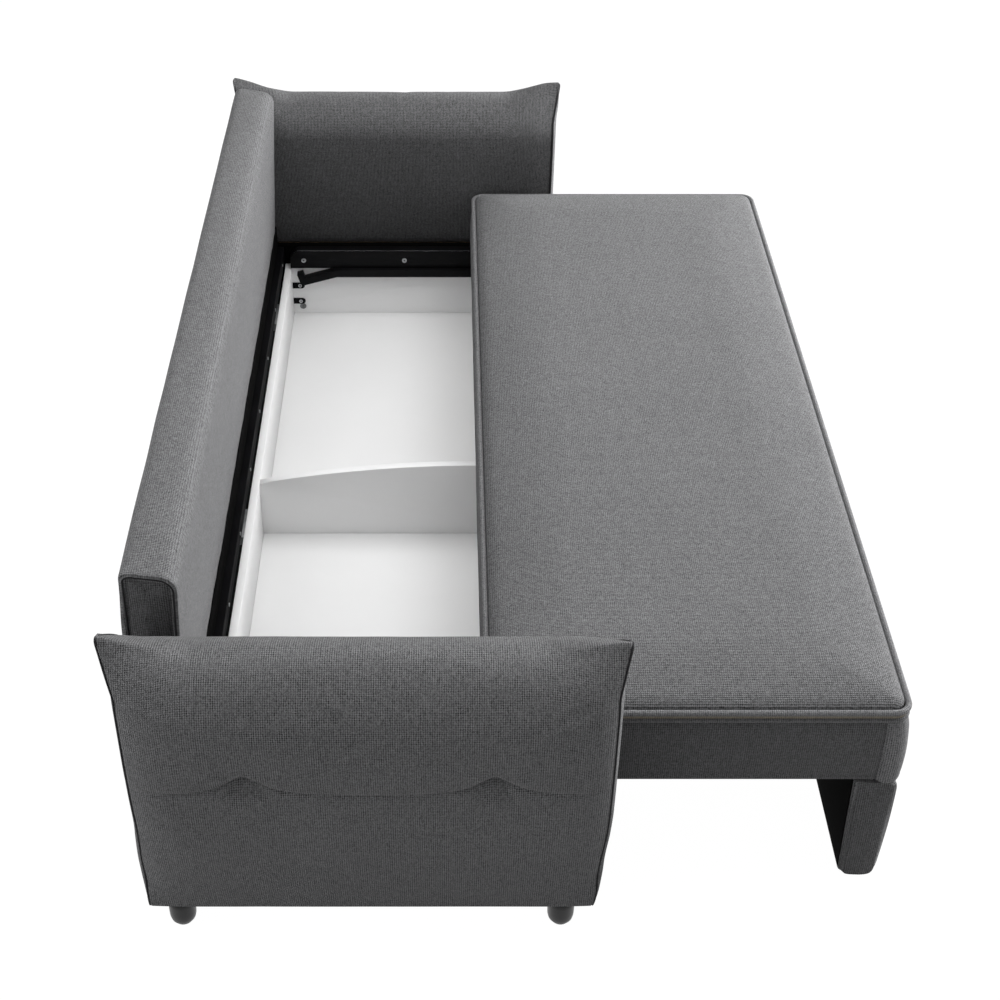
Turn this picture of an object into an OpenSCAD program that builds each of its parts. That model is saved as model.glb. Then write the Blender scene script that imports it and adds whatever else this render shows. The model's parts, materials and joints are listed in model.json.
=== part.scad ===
// Storage sofa with a pull-out seat, drawn with the seat pulled out.
// X runs along the sofa, the front is -Y, the floor is Z = 0.
// The origin is under the middle of the whole sofa as drawn.

/* [Seat] */
// Length of the seat, end to end
seat_len = 1974; // [1500:1:2400]
// Depth of the seat, front to back
seat_depth = 763; // [650:1:900]
// Height of the seat's underside above the floor
seat_bottom = 263; // [262:1:320]
// Height of the fabric apron round the seat frame
apron_h = 142; // [120:1:200]
// Thickness of the apron
apron_t = 10; // [4:1:16]
// How far the apron lies behind the seat's upper welt
apron_inset = 5; // [3:1:12]
// Height of the cushion's border between the two welts
border_h = 24; // [16:1:60]
// How far the cushion's border is drawn in
border_draw = 3; // [0:0.5:6]
// Rise of the cushion's crown in the middle
crown_h = 16; // [4:1:60]
// Radius of the seat's corners in plan
seat_corner_r = 35; // [24:1:90]
// Diameter of the welt round the cushion's top
upper_welt_d = 12; // [6:0.5:16]
// Diameter of the welt under the border
lower_welt_d = 9; // [5:0.5:14]
// How far the seat is pulled out
seat_travel = 500; // [300:1:520]
// How far the closed seat stands in front of the arms
seat_proud = 50; // [46:1:80]

/* [Seat frame] */
// Width of the timber rails of the seat frame
rail_w = 42; // [25:1:60]
// Height of the timber rails of the seat frame
rail_h = 80; // [50:1:100]
// Number of rails across the seat frame
cross_count = 3; // [1:1:6]
// Width of a webbing strap
strap_w = 60; // [30:1:70]
// Thickness of a webbing strap
strap_t = 3; // [1:0.5:5]
// Number of webbing straps along the seat
strap_count = 16; // [4:1:20]
// Thickness of the dust cover under the seat
lining_t = 2; // [1:0.5:4]

/* [Fascia] */
// Thickness of the leg panel under the seat's front, at its top
fascia_top_t = 84; // [60:1:110]
// Thickness of the leg panel at its foot
fascia_foot_t = 71; // [55:1:84]
// Radius of the leg panel's lower edges
fascia_r = 14; // [4:1:25]
// Thickness of the board in the leg panel
fascia_board_t = 30; // [12:1:38]
// How far the leg panel's ends lie inside the seat's
fascia_end_inset = 1; // [1:1:30]
// Gap between the leg panel and the seat
fascia_gap = 5; // [2:1:12]
// Diameter of a glide under the leg panel
glide_d = 30; // [16:1:44]
// Height of a glide
glide_h = 4; // [2:0.5:8]
// Number of glides
glide_count = 4; // [2:1:8]

/* [Arms] */
// Gap between the seat's end and the arm
arm_gap = 27; // [24:1:50]
// Thickness of the arm at its fullest
arm_t = 168; // [140:1:240]
// Depth of the arm at its foot
arm_depth = 817; // [780:1:900]
// Height of the top of the arm between its ears
arm_h = 670; // [640:1:760]
// Height of the arm's foot above the floor
arm_foot_h = 64; // [50:1:90]
// How far the outer face draws in at the foot
arm_foot_draw = 64; // [20:1:66]
// Rise of the front ear
front_ear_rise = 34; // [10:1:60]
// Rise of the rear ear
rear_ear_rise = 48; // [10:1:60]
// Length of an ear along the top of the arm
ear_len = 190; // [90:1:260]
// How far an ear flares past the arm's foot
ear_flare = 19; // [4:1:40]
// Radius of the arm's top edges
arm_top_r = 78; // [40:1:100]
// Distance of each tuft from the arm's rear and front edges
tuft_edge = 200; // [120:1:320]
// Height of the tufts above the floor
tuft_h = 441; // [400:1:500]
// Depth of a tuft
tuft_depth = 30; // [5:1:36]
// Drop of the crease between the tufts
swag_drop = 36; // [0:1:60]
// Depth of the crease
crease_depth = 13; // [2:1:18]
// Height where the fabric of the inner face ends
inner_fabric_h = 262; // [259:1:300]
// Foam between the arm's frame and its inner face
arm_inner_foam = 16; // [8:1:30]
// Width of the arm's frame
arm_frame_w = 74; // [60:1:76]
// Diameter of the welts on the arm's outer edges
arm_welt_d = 7; // [4:0.5:10]

/* [Feet] */
// Diameter of a foot
foot_d = 50; // [30:1:60]
// Distance of a front foot's centre from the arm's front
front_foot_inset = 67; // [40:1:160]
// Distance of a rear foot's centre from the arm's rear
rear_foot_inset = 45; // [40:1:160]
// Diameter of a foot's stud
foot_stud_d = 8; // [6:0.5:12]
// Length of a foot's stud
foot_stud_len = 30; // [15:1:50]

/* [Backrest] */
// Gap between the backrest's end and the arm
back_gap = 39; // [20:1:80]
// Height of the backrest's top above the floor
back_h = 743; // [640:1:900]
// Height of the backrest's lower edge above the floor
back_bottom = 318; // [300:1:340]
// Thickness of the backrest at its top
back_t = 91; // [80:1:94]
// How much further back the front face lies at its foot
back_lean = 22; // [0:1:30]
// Fall of the backrest's top towards the front
back_top_fall = 14; // [0:1:40]
// Radius of the backrest's edges
back_edge_r = 22; // [8:1:30]
// Distance of the backrest's rear face from the tips of the rear ears
back_inset = 23; // [8:1:30]
// Thickness of the boards in the backrest
back_board_t = 24; // [12:1:30]
// Diameter of the welts round the backrest's ends
back_welt_d = 8; // [4:0.5:12]

/* [Storage box] */
// Thickness of the laminated boards
board_t = 18; // [12:1:22]
// Height of the box floor's top above the floor
floor_h = 54; // [40:1:80]
// Thickness of the floor boards
floor_t = 16; // [8:1:20]
// Height of the back wall's and divider's lowest top
wall_h = 200; // [170:1:202]
// Height of the divider in front
divider_h = 254; // [210:1:255]
// Where the divider's curve ends, in front of the back wall
divider_run = 505; // [300:1:600]
// Distance from the arms' rear edge to the box
box_inset = 85; // [85:1:110]
// Gap between the front wall and the closed leg panel
front_wall_gap = 8; // [3:1:30]

/* [Steel] */
// Height of the side rails' underside
side_rail_z = 203; // [203:1:206]
// Height of the side rails
side_rail_h = 55; // [40:1:55]
// Radius of the side rails' rear corner
side_rail_r = 30; // [10:1:38]
// Height of the roller track
track_h = 22; // [14:1:26]
// Width of the roller track
track_w = 22; // [16:1:30]
// Length of the straight track from the box's back wall
crank_run = 126; // [100:1:200]
// Drop of the track's cranked end
crank_drop = 27; // [10:1:40]
// Distance of the crank's lowest point from the back wall
knee_run = 32; // [26:1:60]
// Diameter of a roller
roller_d = 44; // [30:1:50]
// Width of a roller
roller_w = 8; // [6:1:8]
// Diameter of a roller's axle
axle_d = 8; // [5:0.5:10]
// Distance of the rollers behind the front wall
roller_inset = 27; // [26:1:60]
// Spacing of the bolts in the side rails
bolt_pitch = 281; // [200:1:290]
// Thickness of steel plates
plate_t = 3; // [2:0.5:5]
// Diameter of a bolt's head
bolt_head_d = 13; // [10:0.5:16]
// Height of a bolt's head
bolt_head_h = 2.5; // [1:0.1:2.5]

/* [Hidden] */
$fn = 40;

// Colours
fabric = [0.33, 0.33, 0.34];
dark_fabric = [0.2, 0.2, 0.21];
lining_black = [0.05, 0.05, 0.05];
steel_black = [0.07, 0.07, 0.08];
laminate = [0.92, 0.92, 0.92];
timber = [0.75, 0.6, 0.42];
zinc = [0.75, 0.76, 0.78];

// Clearance that keeps soft solids off their neighbours, and a running fit
soft_gap = 0.3;
run_gap = 0.05;
// How far a cut runs past what it cuts
over = 1;

// Depths, worked out from the rear ears forwards
welt_seat = 0.6;
rear_welt = arm_welt_d + welt_seat;
overall_depth = rear_welt + ear_flare + arm_depth + seat_proud + seat_travel;
rear_tip = overall_depth / 2;
arm_rear = rear_tip - rear_welt - ear_flare;
arm_front = arm_rear - arm_depth;
seat_front = -overall_depth / 2;
seat_rear = seat_front + seat_depth;
box_rear = arm_rear - box_inset;
box_back_in = box_rear - board_t;
// The leg panel's inner face when the seat is closed sets the front wall
fascia_inner = seat_front + fascia_top_t;
fascia_sag = 7;
fascia_foot_inner = seat_front + fascia_sag + fascia_foot_t;
front_wall_out = max(fascia_inner, fascia_foot_inner) + seat_travel + front_wall_gap;
front_wall_in = front_wall_out + board_t;

// Lengths, worked out from the middle outwards
arm_in = seat_len / 2 + arm_gap;
arm_out = arm_in + arm_t;
arm_mid = arm_in + arm_t / 2;
wall_in = arm_in - board_t;
track_in = wall_in - track_w;
frame_in = arm_in + arm_inner_foam;
frame_out = frame_in + arm_frame_w;
back_len = 2 * (arm_in - back_gap);

// Heights
apron_top = seat_bottom + apron_h;
cushion_low = seat_bottom + lining_t + rail_h + strap_t + soft_gap;
welt_z = apron_top + soft_gap + border_h;
floor_low = floor_h - floor_t;
track_top = side_rail_z;
track_low = track_top - track_h;

// Smooth step from 0 at a to 1 at b
function ease(a, b, v) =
  let (t = min(1, max(0, (v - a) / (b - a)))) t * t * (3 - 2 * t);

// Points of a rounded rectangle round the origin, n steps per corner
function rounded_outline(w, h, r, n) = [
  for (c = [0:3], k = [0:n])
    let (a = c * 90 + k * 90 / n,
         sx = (c == 0 || c == 3) ? 1 : -1,
         sy = (c < 2) ? 1 : -1)
    [sx * (w / 2 - r) + r * cos(a), sy * (h / 2 - r) + r * sin(a)]
];

// Triangles across a ring whose second half runs back beside its first
function strip_cap(base, n, flip) = [
  for (j = [0:n / 2 - 2], half = [0:1])
    let (a = base + j, b = a + 1, c = base + n - 2 - j, d = c + 1,
         t = half == 0 ? [a, b, c] : [a, c, d])
    flip ? [t[2], t[1], t[0]] : t];

// A solid through rings of equal point counts, closed by its first and last ring
module ring_solid(rings, strips = false) {
  n = len(rings[0]);
  m = len(rings);
  points = [for (ring = rings, p = ring) p];
  sides = [for (k = [0:m - 2], i = [0:n - 1], half = [0:1])
    let (a = k * n + i, b = k * n + (i + 1) % n, c = b + n, d = a + n)
    half == 0 ? [a, c, b] : [a, d, c]];
  first = strips ? strip_cap(0, n, false) : [[for (i = [0:n - 1]) i]];
  last = strips ? strip_cap((m - 1) * n, n, true) : [[for (i = [n - 1:-1:0]) (m - 1) * n + i]];
  polyhedron(points = points, faces = concat(sides, first, last), convexity = 6);
}

// Mirrors its children to the right end of the sofa
module right_side() {
  mirror([1, 0, 0]) children();
}

function unit(v) = v / norm(v);

// A ring of points round a path's point, square to its direction
function tube_ring(centre, dir, d, sides) =
  let (n1 = unit(cross(dir, [0, 1, 0])), n2 = cross(dir, n1))
  [for (k = [0:sides - 1])
    let (a = 360 * k / sides) centre + d / 2 * (cos(a) * n1 + sin(a) * n2)];

// A round tube along points that rise more than they run along Y
module tube(path, d, sides = 8) {
  last = len(path) - 1;
  ring_solid([for (k = [0:last])
    tube_ring(path[k], unit(path[min(k + 1, last)] - path[max(k - 1, 0)]), d, sides)]);
}

// Profile in Y and Z, extruded along X from x0 to x1
module along_x(x0, x1) {
  translate([x0, 0, 0]) rotate([90, 0, 90]) linear_extrude(height = x1 - x0) children();
}

// A block by its low and high corners
module block(low, high) {
  translate(low) cube(high - low);
}

// Arm: outline and faces
arm_nu = 26;
arm_nv = 16;
ear_z0 = arm_h - 80;
function ear_share(y) = 1 - ease(0, ear_len, min(y - arm_front, arm_rear - y));
function ear_rise(y) = y < (arm_front + arm_rear) / 2 ? front_ear_rise : rear_ear_rise;
function arm_top(y) = arm_h + ear_rise(y) * pow(ear_share(y), 2);
function edge_flare(z) = ear_flare * ease(ear_z0, arm_h + 20, z);
tuft_front = arm_front + tuft_edge;
tuft_rear = arm_rear - tuft_edge;
function tuft_dist(y) = min(abs(y - tuft_front), abs(y - tuft_rear));
function crease_z(y) = tuft_h - swag_drop * sin(90 * min(1, tuft_dist(y) / tuft_edge));
crease_w = 26;
tuft_r = 46;
function arm_tuck(y, z) =
  crease_depth * exp(-pow((z - crease_z(y)) / crease_w, 2))
  + (tuft_depth - crease_depth)
  * exp(-(pow(tuft_dist(y), 2) + pow(z - tuft_h, 2)) / (tuft_r * tuft_r));
function arm_outer(y, z) =
  arm_out - arm_foot_draw * (1 - sin(90 * min(1, (z - arm_foot_h) / (tuft_h + 60 - arm_foot_h))))
  - arm_tuck(y, z);
// How full the arm is at a height: 1 below the rounded top, near 0 at the top seam
seam_fill = 0.06;
function arm_fill(y, z) =
  let (e = ear_share(y), r = arm_top_r + (ear_len - arm_top_r) * e,
       s = min(1, max(0, (arm_top(y) - z) / r)),
       round_fill = sqrt(1 - (1 - s) * (1 - s)))
  max(seam_fill, round_fill * (1 - e) + pow(s, 0.8) * e);
function arm_row(j) = 1 - pow(1 - j / arm_nv, 1.7);
function arm_point(i, j, outer) =
  let (y0 = arm_front + arm_depth * (0.5 - 0.5 * cos(180 * i / arm_nu)),
       z = arm_foot_h + (arm_top(y0) - arm_foot_h) * arm_row(j),
       flare = edge_flare(z) * pow(abs(2 * (y0 - arm_front) / arm_depth - 1), 6),
       y = y0 + (y0 > (arm_front + arm_rear) / 2 ? flare : -flare),
       f = arm_fill(y0, z),
       x = outer ? arm_mid + (arm_outer(y0, z) - arm_mid) * f : arm_mid + (arm_in - arm_mid) * f)
  [x, y, z];

// Arm rings run round the section at each step along Y
module arm_body() {
  rings = [for (i = [arm_nu:-1:0]) concat(
    [for (j = [0:arm_nv]) arm_point(i, j, true)],
    [for (j = [arm_nv:-1:0]) arm_point(i, j, false)])];
  ring_solid(rings, strips = true);
}

// The frame ends below the thin ears and inside the cover's front and rear faces
arm_frame_top = arm_h + min(front_ear_rise, rear_ear_rise) - ear_len - 5;
arm_end_foam = 30;
module arm_frame_block(grow) {
  block([frame_in - grow, arm_front + arm_end_foam - grow, arm_foot_h - grow],
        [frame_out + grow, arm_rear - arm_end_foam + grow, arm_frame_top + grow]);
}

// A foot reaches a little past the frame's outer face
foot_over = 11;
foot_x = frame_out - foot_d / 2 + foot_over;
foot_ys = [arm_front + front_foot_inset, arm_rear - rear_foot_inset];

module arm_frame() {
  color(timber) difference() {
    arm_frame_block(0);
    for (y = foot_ys)
      translate([foot_x, y, arm_foot_h - over])
        cylinder(d = foot_stud_d + 2 * run_gap, h = foot_stud_len + 2 * over);
  }
}

module arm_cover() {
  color(fabric) difference() {
    arm_body();
    arm_frame_block(soft_gap);
    block([arm_in - over, arm_front - ear_flare - over, 0],
          [frame_in + soft_gap, arm_rear + ear_flare + over, inner_fabric_h]);
  }
}

// Black board on the arm's inner side, which carries the side rail
module rail_board() {
  color(lining_black)
    block([arm_in, arm_front + 4, arm_foot_h], [frame_in, arm_rear - 4, inner_fabric_h - soft_gap]);
}

// Welts follow the outer and inner edges of the arm, front and rear
module arm_welts() {
  steps = 15;
  color(dark_fabric)
    for (side = [0, arm_nu], outer = [true, false]) {
      sign = side == 0 ? -1 : 1;
      in_x = outer ? -arm_welt_d / 2 : arm_welt_d / 2;
      // The inner welt stops where the ear grows thin
      last = outer ? steps : steps - 1;
      path = [for (k = [0:last]) let (p = arm_point(side, k * arm_nv / steps, outer))
        [p[0] + in_x, p[1] + sign * (arm_welt_d / 2 + welt_seat), p[2]]];
      tube(path, arm_welt_d);
    }
}

module foot() {
  color(lining_black) union() {
    rotate_extrude() polygon([
      [0, 0], [foot_d * 0.42, 0], [foot_d * 0.47, 3], [foot_d / 2, foot_d * 0.3],
      [foot_d / 2, arm_foot_h - 8], [foot_d * 0.44, arm_foot_h], [0, arm_foot_h]]);
    translate([0, 0, arm_foot_h - over]) cylinder(d = foot_stud_d, h = foot_stud_len + over);
  }
}

module foot_at(y) {
  translate([foot_x, y, 0]) foot();
}

// Rear of the frame, between the arms
// Room behind the box for the steel crossbar
crossbar_room = 18;
beam_front = box_rear + crossbar_room + soft_gap;
back_rear = rear_tip - back_inset;
back_front = back_rear - back_t;
rear_cover_t = 8;
beam_rear = back_rear - rear_cover_t - 2;

// Bolts that hold the backrest on the rear beam
back_bolt_d = 8;
back_bolt_count = 4;
back_bolt_end = 150;
back_bolt_span = back_len - 2 * back_bolt_end;
back_bolt_xs = [for (k = [0:back_bolt_count - 1]) back_bolt_span * (k / (back_bolt_count - 1) - 0.5)];
back_bolt_head_h = 5;
beam_top = back_bottom - soft_gap;

module back_bolt_holes() {
  for (x = back_bolt_xs)
    translate([x, back_mid, beam_top - board_t - over])
      cylinder(d = back_bolt_d + 2 * run_gap, h = board_t + back_bolt_grip + 3 * over);
}

module rear_beam() {
  color(lining_black) difference() {
    union() {
      block([-arm_in, beam_front, arm_foot_h], [arm_in, beam_front + board_t, beam_top]);
      block([-arm_in, beam_front + board_t, arm_foot_h], [arm_in, beam_rear, arm_foot_h + board_t]);
      block([-arm_in, beam_front + board_t, beam_top - board_t], [arm_in, beam_rear, beam_top]);
    }
    back_bolt_holes();
  }
}

module backrest_bolts() {
  color(zinc)
    for (x = back_bolt_xs) translate([x, back_mid, beam_top - board_t]) {
      translate([0, 0, -back_bolt_head_h]) cylinder(d = 2 * back_bolt_d, h = back_bolt_head_h);
      translate([0, 0, -over]) cylinder(d = back_bolt_d, h = board_t + back_bolt_grip + over);
    }
}

module rear_cover() {
  color(fabric)
    block([-arm_in + 2, beam_rear + soft_gap, arm_foot_h + 2],
          [arm_in - 2, beam_rear + rear_cover_t, back_bottom - 4]);
}

// Backrest: profile corners from the rear foot round to the front foot
back_corners = [
  [back_rear + 2, back_bottom], [back_rear, back_h],
  [back_front, back_h - back_top_fall], [back_front + back_lean, back_bottom]];
back_radii = [6, back_edge_r, back_edge_r, 12];
back_steps = 5;

// Rounded corner points of the backrest's profile, drawn in by d
function back_profile(d) = [
  for (c = [0:3], k = [0:back_steps])
    let (a = [-90, 0, 90, 180][c] + 90 * k / back_steps,
         sy = [1, 1, -1, -1][c], sz = [-1, 1, 1, -1][c],
         r = max(1, back_radii[c] - d), p = back_corners[c])
    [p[0] - sy * (d + r) + r * cos(a), p[1] - sz * (d + r) + r * sin(a)]];

back_stations = [0, 4, 12, 60, 160, 400];
back_draw = [16, 6, 2, 0, 0, 0];
back_crown = [-4, -3, -1, 2, 4, 5];
function back_ring(k, side) =
  let (x = side * (back_len / 2 - back_stations[k]))
  [for (p = back_profile(back_draw[k] + 1))
    let (mid = sin(180 * (p[1] - back_bottom) / (back_h - back_bottom)),
         in_front = p[0] < (back_front + back_rear) / 2 ? 1 : 0)
    [x, p[0] - back_crown[k] * max(0, mid) * in_front, p[1]]];

back_bolt_grip = 45;
back_rail_h = 50;
back_frame_top = back_h - 42;
back_mid = (back_front + back_lean + back_rear) / 2;
back_frame_end = back_len / 2 - 34;
post_count = 5;
post_w = 60;

module backrest_frame() {
  color(timber) difference() {
    union() {
      for (z = [back_bottom, back_frame_top - back_rail_h])
        block([-back_frame_end, back_mid - back_board_t / 2, z],
              [back_frame_end, back_mid + back_board_t / 2, z + back_rail_h]);
      for (k = [0:post_count - 1]) {
        x = -back_frame_end + k * (2 * back_frame_end - post_w) / (post_count - 1);
        block([x, back_mid - back_board_t / 2, back_bottom],
              [x + post_w, back_mid + back_board_t / 2, back_frame_top]);
      }
    }
    back_bolt_holes();
  }
}

module backrest_cover() {
  last = len(back_stations) - 1;
  rings = concat(
    [for (k = [0:last]) back_ring(k, 1)],
    [for (k = [last:-1:0]) back_ring(k, -1)]);
  color(fabric) difference() {
    ring_solid(rings);
    block([-back_frame_end - soft_gap, back_mid - back_board_t / 2 - soft_gap, back_bottom - 1],
          [back_frame_end + soft_gap, back_mid + back_board_t / 2 + soft_gap, back_frame_top + soft_gap]);
  }
}

// A closed welt round an end of the backrest
module loop_tube(path, d, sides = 8) {
  n = len(path);
  rings = [for (k = [0:n - 1])
    let (dir = unit(path[(k + 1) % n] - path[(k + n - 1) % n]), n1 = [1, 0, 0], n2 = cross(dir, n1))
    [for (i = [0:sides - 1]) let (a = 360 * i / sides) path[k] + d / 2 * (cos(a) * n1 + sin(a) * n2)]];
  points = [for (ring = rings, p = ring) p];
  faces = [for (k = [0:n - 1], i = [0:sides - 1], half = [0:1])
    let (a = k * sides + i, b = k * sides + (i + 1) % sides,
         c = ((k + 1) % n) * sides + (i + 1) % sides, e = ((k + 1) % n) * sides + i)
    half == 0 ? [a, c, b] : [a, e, c]];
  polyhedron(points = points, faces = faces, convexity = 6);
}

module backrest_welts() {
  x = back_len / 2 + back_welt_d / 2 + welt_seat;
  color(dark_fabric)
    for (side = [-1, 1])
      loop_tube([for (p = back_profile(back_draw[0] + back_welt_d / 2)) [side * x, p[0], p[1]]], back_welt_d);
}

// Storage box
module box_back_wall() {
  color(laminate)
    block([-wall_in, box_back_in, floor_low], [wall_in, box_rear, wall_h]);
}

module box_front_wall() {
  color(laminate) union() {
    block([-wall_in, front_wall_out, floor_low], [wall_in, front_wall_in, track_low - soft_gap]);
    block([-track_in + soft_gap, front_wall_out, track_low - 1],
          [track_in - soft_gap, front_wall_in, divider_h]);
  }
}

module end_wall() {
  color(laminate) difference() {
    block([wall_in, front_wall_out, floor_low], [arm_in, box_rear, side_rail_z]);
    for (y = cam_ys)
      translate([wall_in - 1, y, cam_z]) rotate([0, 90, 0]) cylinder(d = cam_d + 2 * run_gap, h = cam_depth + 1);
  }
}

module floor_panel() {
  color(laminate)
    block([board_t / 2, front_wall_in, floor_low], [wall_in, box_back_in, floor_h]);
}

// The divider's top curves up from the back wall to its full height
divider_steps = 20;
function divider_top(t) = wall_h + (divider_h - wall_h) * pow(sin(90 * t), 0.8);
module divider() {
  top = [for (k = [0:divider_steps])
    let (t = k / divider_steps) [box_back_in - t * divider_run, divider_top(t)]];
  color(laminate)
    along_x(-board_t / 2, board_t / 2)
      polygon(concat([[front_wall_in, floor_low], [box_back_in, floor_low]], top,
                     [[front_wall_in, divider_h]]));
}

// Cam connectors sit in the end walls near the back and front walls
cam_d = 18;
cam_depth = 12;
cam_proud = 1;
cam_ys = [box_back_in - 26, front_wall_in + 26];
cam_z = floor_h + 21;

module cam_connectors() {
  color(zinc)
    for (side = [-1, 1], y = cam_ys)
      translate([side * (wall_in - cam_proud), y, cam_z]) rotate([0, side * 90, 0]) difference() {
        cylinder(d = cam_d, h = cam_depth);
        translate([0, 0, -1]) cylinder(d = 5, h = 4);
      }
}

// Two steel tabs in each rear corner tie the back wall to the end wall
tab_w = 34;
tab_h = 18;
tab_low = floor_h + 30;
tab_pitch = 50;
tab_zs = [tab_low, tab_low + tab_pitch];

module corner_tabs() {
  color(steel_black)
    for (side = [-1, 1], z = tab_zs)
      translate([side * wall_in, box_back_in, z + tab_h / 2]) rotate([0, -side * 90, 0])
        difference() {
          linear_extrude(height = plate_t) union() {
            translate([-tab_h / 2, -tab_w + tab_h / 2]) square([tab_h, tab_w - tab_h / 2]);
            translate([0, -tab_w + tab_h / 2]) circle(d = tab_h);
          }
          translate([0, -tab_w + tab_h / 2 + 4, -1]) cylinder(d = rivet_d + 2 * run_gap, h = plate_t + 2);
        }
}

rivet_d = 5;
module tab_rivets() {
  color(zinc)
    for (side = [-1, 1], z = tab_zs)
      translate([side * (wall_in - plate_t), box_back_in - tab_w + tab_h / 2 + 4, z + tab_h / 2])
        rotate([0, side * 90, 0]) {
          translate([0, 0, -2]) cylinder(d = 10, h = 2);
          cylinder(d = rivet_d, h = plate_t);
        }
}

// Plates from the box's back wall to the rear beam
bracket_w = 102;
bracket_end = 264;
bracket_mid = 142;
bracket_xs = [arm_in - bracket_end, -board_t / 2 - bracket_mid];
module wall_brackets() {
  color(zinc)
    for (x = bracket_xs)
      block([x - bracket_w / 2, box_rear, wall_h - 24], [x + bracket_w / 2, beam_front, wall_h - 2]);
}

// Side rail: a steel plate with a turned-over top, rounded at its rear corner
rail_end = box_back_in + 2;
module side_rail() {
  top = side_rail_z + side_rail_h;
  color(steel_black) difference() {
    along_x(arm_in - arm_gap, arm_in) {
      translate([front_wall_out, side_rail_z])
        square([rail_end - side_rail_r - front_wall_out, side_rail_h]);
      translate([front_wall_out, side_rail_z])
        square([rail_end - front_wall_out, side_rail_h - side_rail_r]);
      // The rounded corner, kept above the rail's underside
      intersection() {
        translate([rail_end - side_rail_r, top - side_rail_r]) circle(r = side_rail_r);
        translate([rail_end - side_rail_r, side_rail_z]) square([side_rail_r, side_rail_h]);
      }
    }
    for (y = bolt_ys)
      translate([arm_in - arm_gap - 1, y, bolt_z]) rotate([0, 90, 0])
        cylinder(d = bolt_d + 2 * run_gap, h = arm_gap + 2);
  }
}

bolt_d = 6;
bolt_z = side_rail_z + 25;
bolt_ys = [for (k = [0:2]) box_back_in - 36 - k * bolt_pitch];
module rail_bolts() {
  color(zinc)
    for (side = [-1, 1], y = bolt_ys)
      translate([side * (arm_in - arm_gap), y, bolt_z]) rotate([0, side * 90, 0]) difference() {
        union() {
          translate([0, 0, -bolt_head_h]) cylinder(d = bolt_head_d, h = bolt_head_h);
          translate([0, 0, -1]) cylinder(d = bolt_d, h = arm_gap + 1);
        }
        translate([0, 0, -bolt_head_h - 1]) cylinder(d = 6, h = bolt_head_h, $fn = 6);
      }
}

// Roller track: a bar under the side rail, cranked down near its rear end
track_points = [
  [front_wall_out, track_top - track_h / 2],
  [box_back_in - crank_run, track_top - track_h / 2],
  [box_back_in - knee_run, track_top - track_h / 2 - crank_drop],
  [box_back_in - knee_run + 8, track_top - track_h / 2 - 1]];

module bar_piece(a, b, w) {
  d = b - a;
  translate(a) rotate(atan2(d[1], d[0])) translate([0, -w / 2]) square([norm(d), w]);
}

module track() {
  color(steel_black)
    along_x(track_in, wall_in)
      intersection() {
        union() {
          for (k = [0:2]) bar_piece(track_points[k], track_points[k + 1], k == 2 ? track_h * 0.8 : track_h);
          for (k = [1:2]) translate(track_points[k]) circle(d = k == 2 ? track_h * 0.8 : track_h);
        }
        translate([front_wall_out, 0]) square([overall_depth, track_top]);
      }
}

// Steel crossbar in front of the rear beam
crossbar_h = 40;
crossbar_lift = 16;
crossbar_z = wall_h + crossbar_lift;
crossbar_front = 2;
module rear_crossbar() {
  color(steel_black) difference() {
    block([-arm_in, box_rear + crossbar_front, crossbar_z], [arm_in, beam_front, crossbar_z + crossbar_h]);
    for (x = crossbar_screw_xs)
      translate([x, beam_front + 1, crossbar_z + crossbar_h / 2]) rotate([90, 0, 0])
        cylinder(d = crossbar_screw_d + 2 * run_gap, h = crossbar_room + 2 * over);
  }
}

crossbar_screw_end = 70;
crossbar_screw_side = 4;
crossbar_screw_xs = [for (k = [-crossbar_screw_side:crossbar_screw_side])
  k * (arm_in - crossbar_screw_end) / crossbar_screw_side];
crossbar_screw_d = 4;
module crossbar_screws() {
  color(zinc)
    for (x = crossbar_screw_xs)
      translate([x, box_rear + crossbar_front, crossbar_z + crossbar_h / 2]) rotate([-90, 0, 0]) {
        translate([0, 0, -crossbar_front]) cylinder(d = 2 * crossbar_screw_d, h = crossbar_front);
        translate([0, 0, -over]) cylinder(d = crossbar_screw_d, h = beam_front - box_rear - crossbar_front + over);
      }
}

// Seat
module seat_slab(d, z0, z1) {
  translate([0, seat_front + seat_depth / 2, z0])
    linear_extrude(height = z1 - z0)
      polygon(rounded_outline(seat_len - 2 * d, seat_depth - 2 * d, max(2, seat_corner_r - d), 6));
}

module seat_apron() {
  color(fabric) difference() {
    seat_slab(apron_inset, seat_bottom, apron_top);
    seat_slab(apron_inset + apron_t, seat_bottom - 1, apron_top + 1);
  }
}

frame_inset = apron_inset + apron_t + soft_gap;
module seat_frame() {
  z0 = seat_bottom + lining_t;
  x1 = seat_len / 2 - frame_inset;
  y0 = seat_front + frame_inset;
  y1 = seat_rear - frame_inset;
  cut = max(0, seat_corner_r - frame_inset);
  color(timber) union() {
    for (y = [y0, y1 - rail_w]) block([-x1 + cut, y, z0], [x1 - cut, y + rail_w, z0 + rail_h]);
    for (x = [-x1, x1 - rail_w]) block([x, y0 + cut, z0], [x + rail_w, y1 - cut, z0 + rail_h]);
    for (k = [1:cross_count]) {
      x = -x1 + k * 2 * x1 / (cross_count + 1);
      block([x - rail_w / 2, y0 + 1, z0], [x + rail_w / 2, y1 - 1, z0 + rail_h - strap_t]);
    }
  }
}

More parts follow.
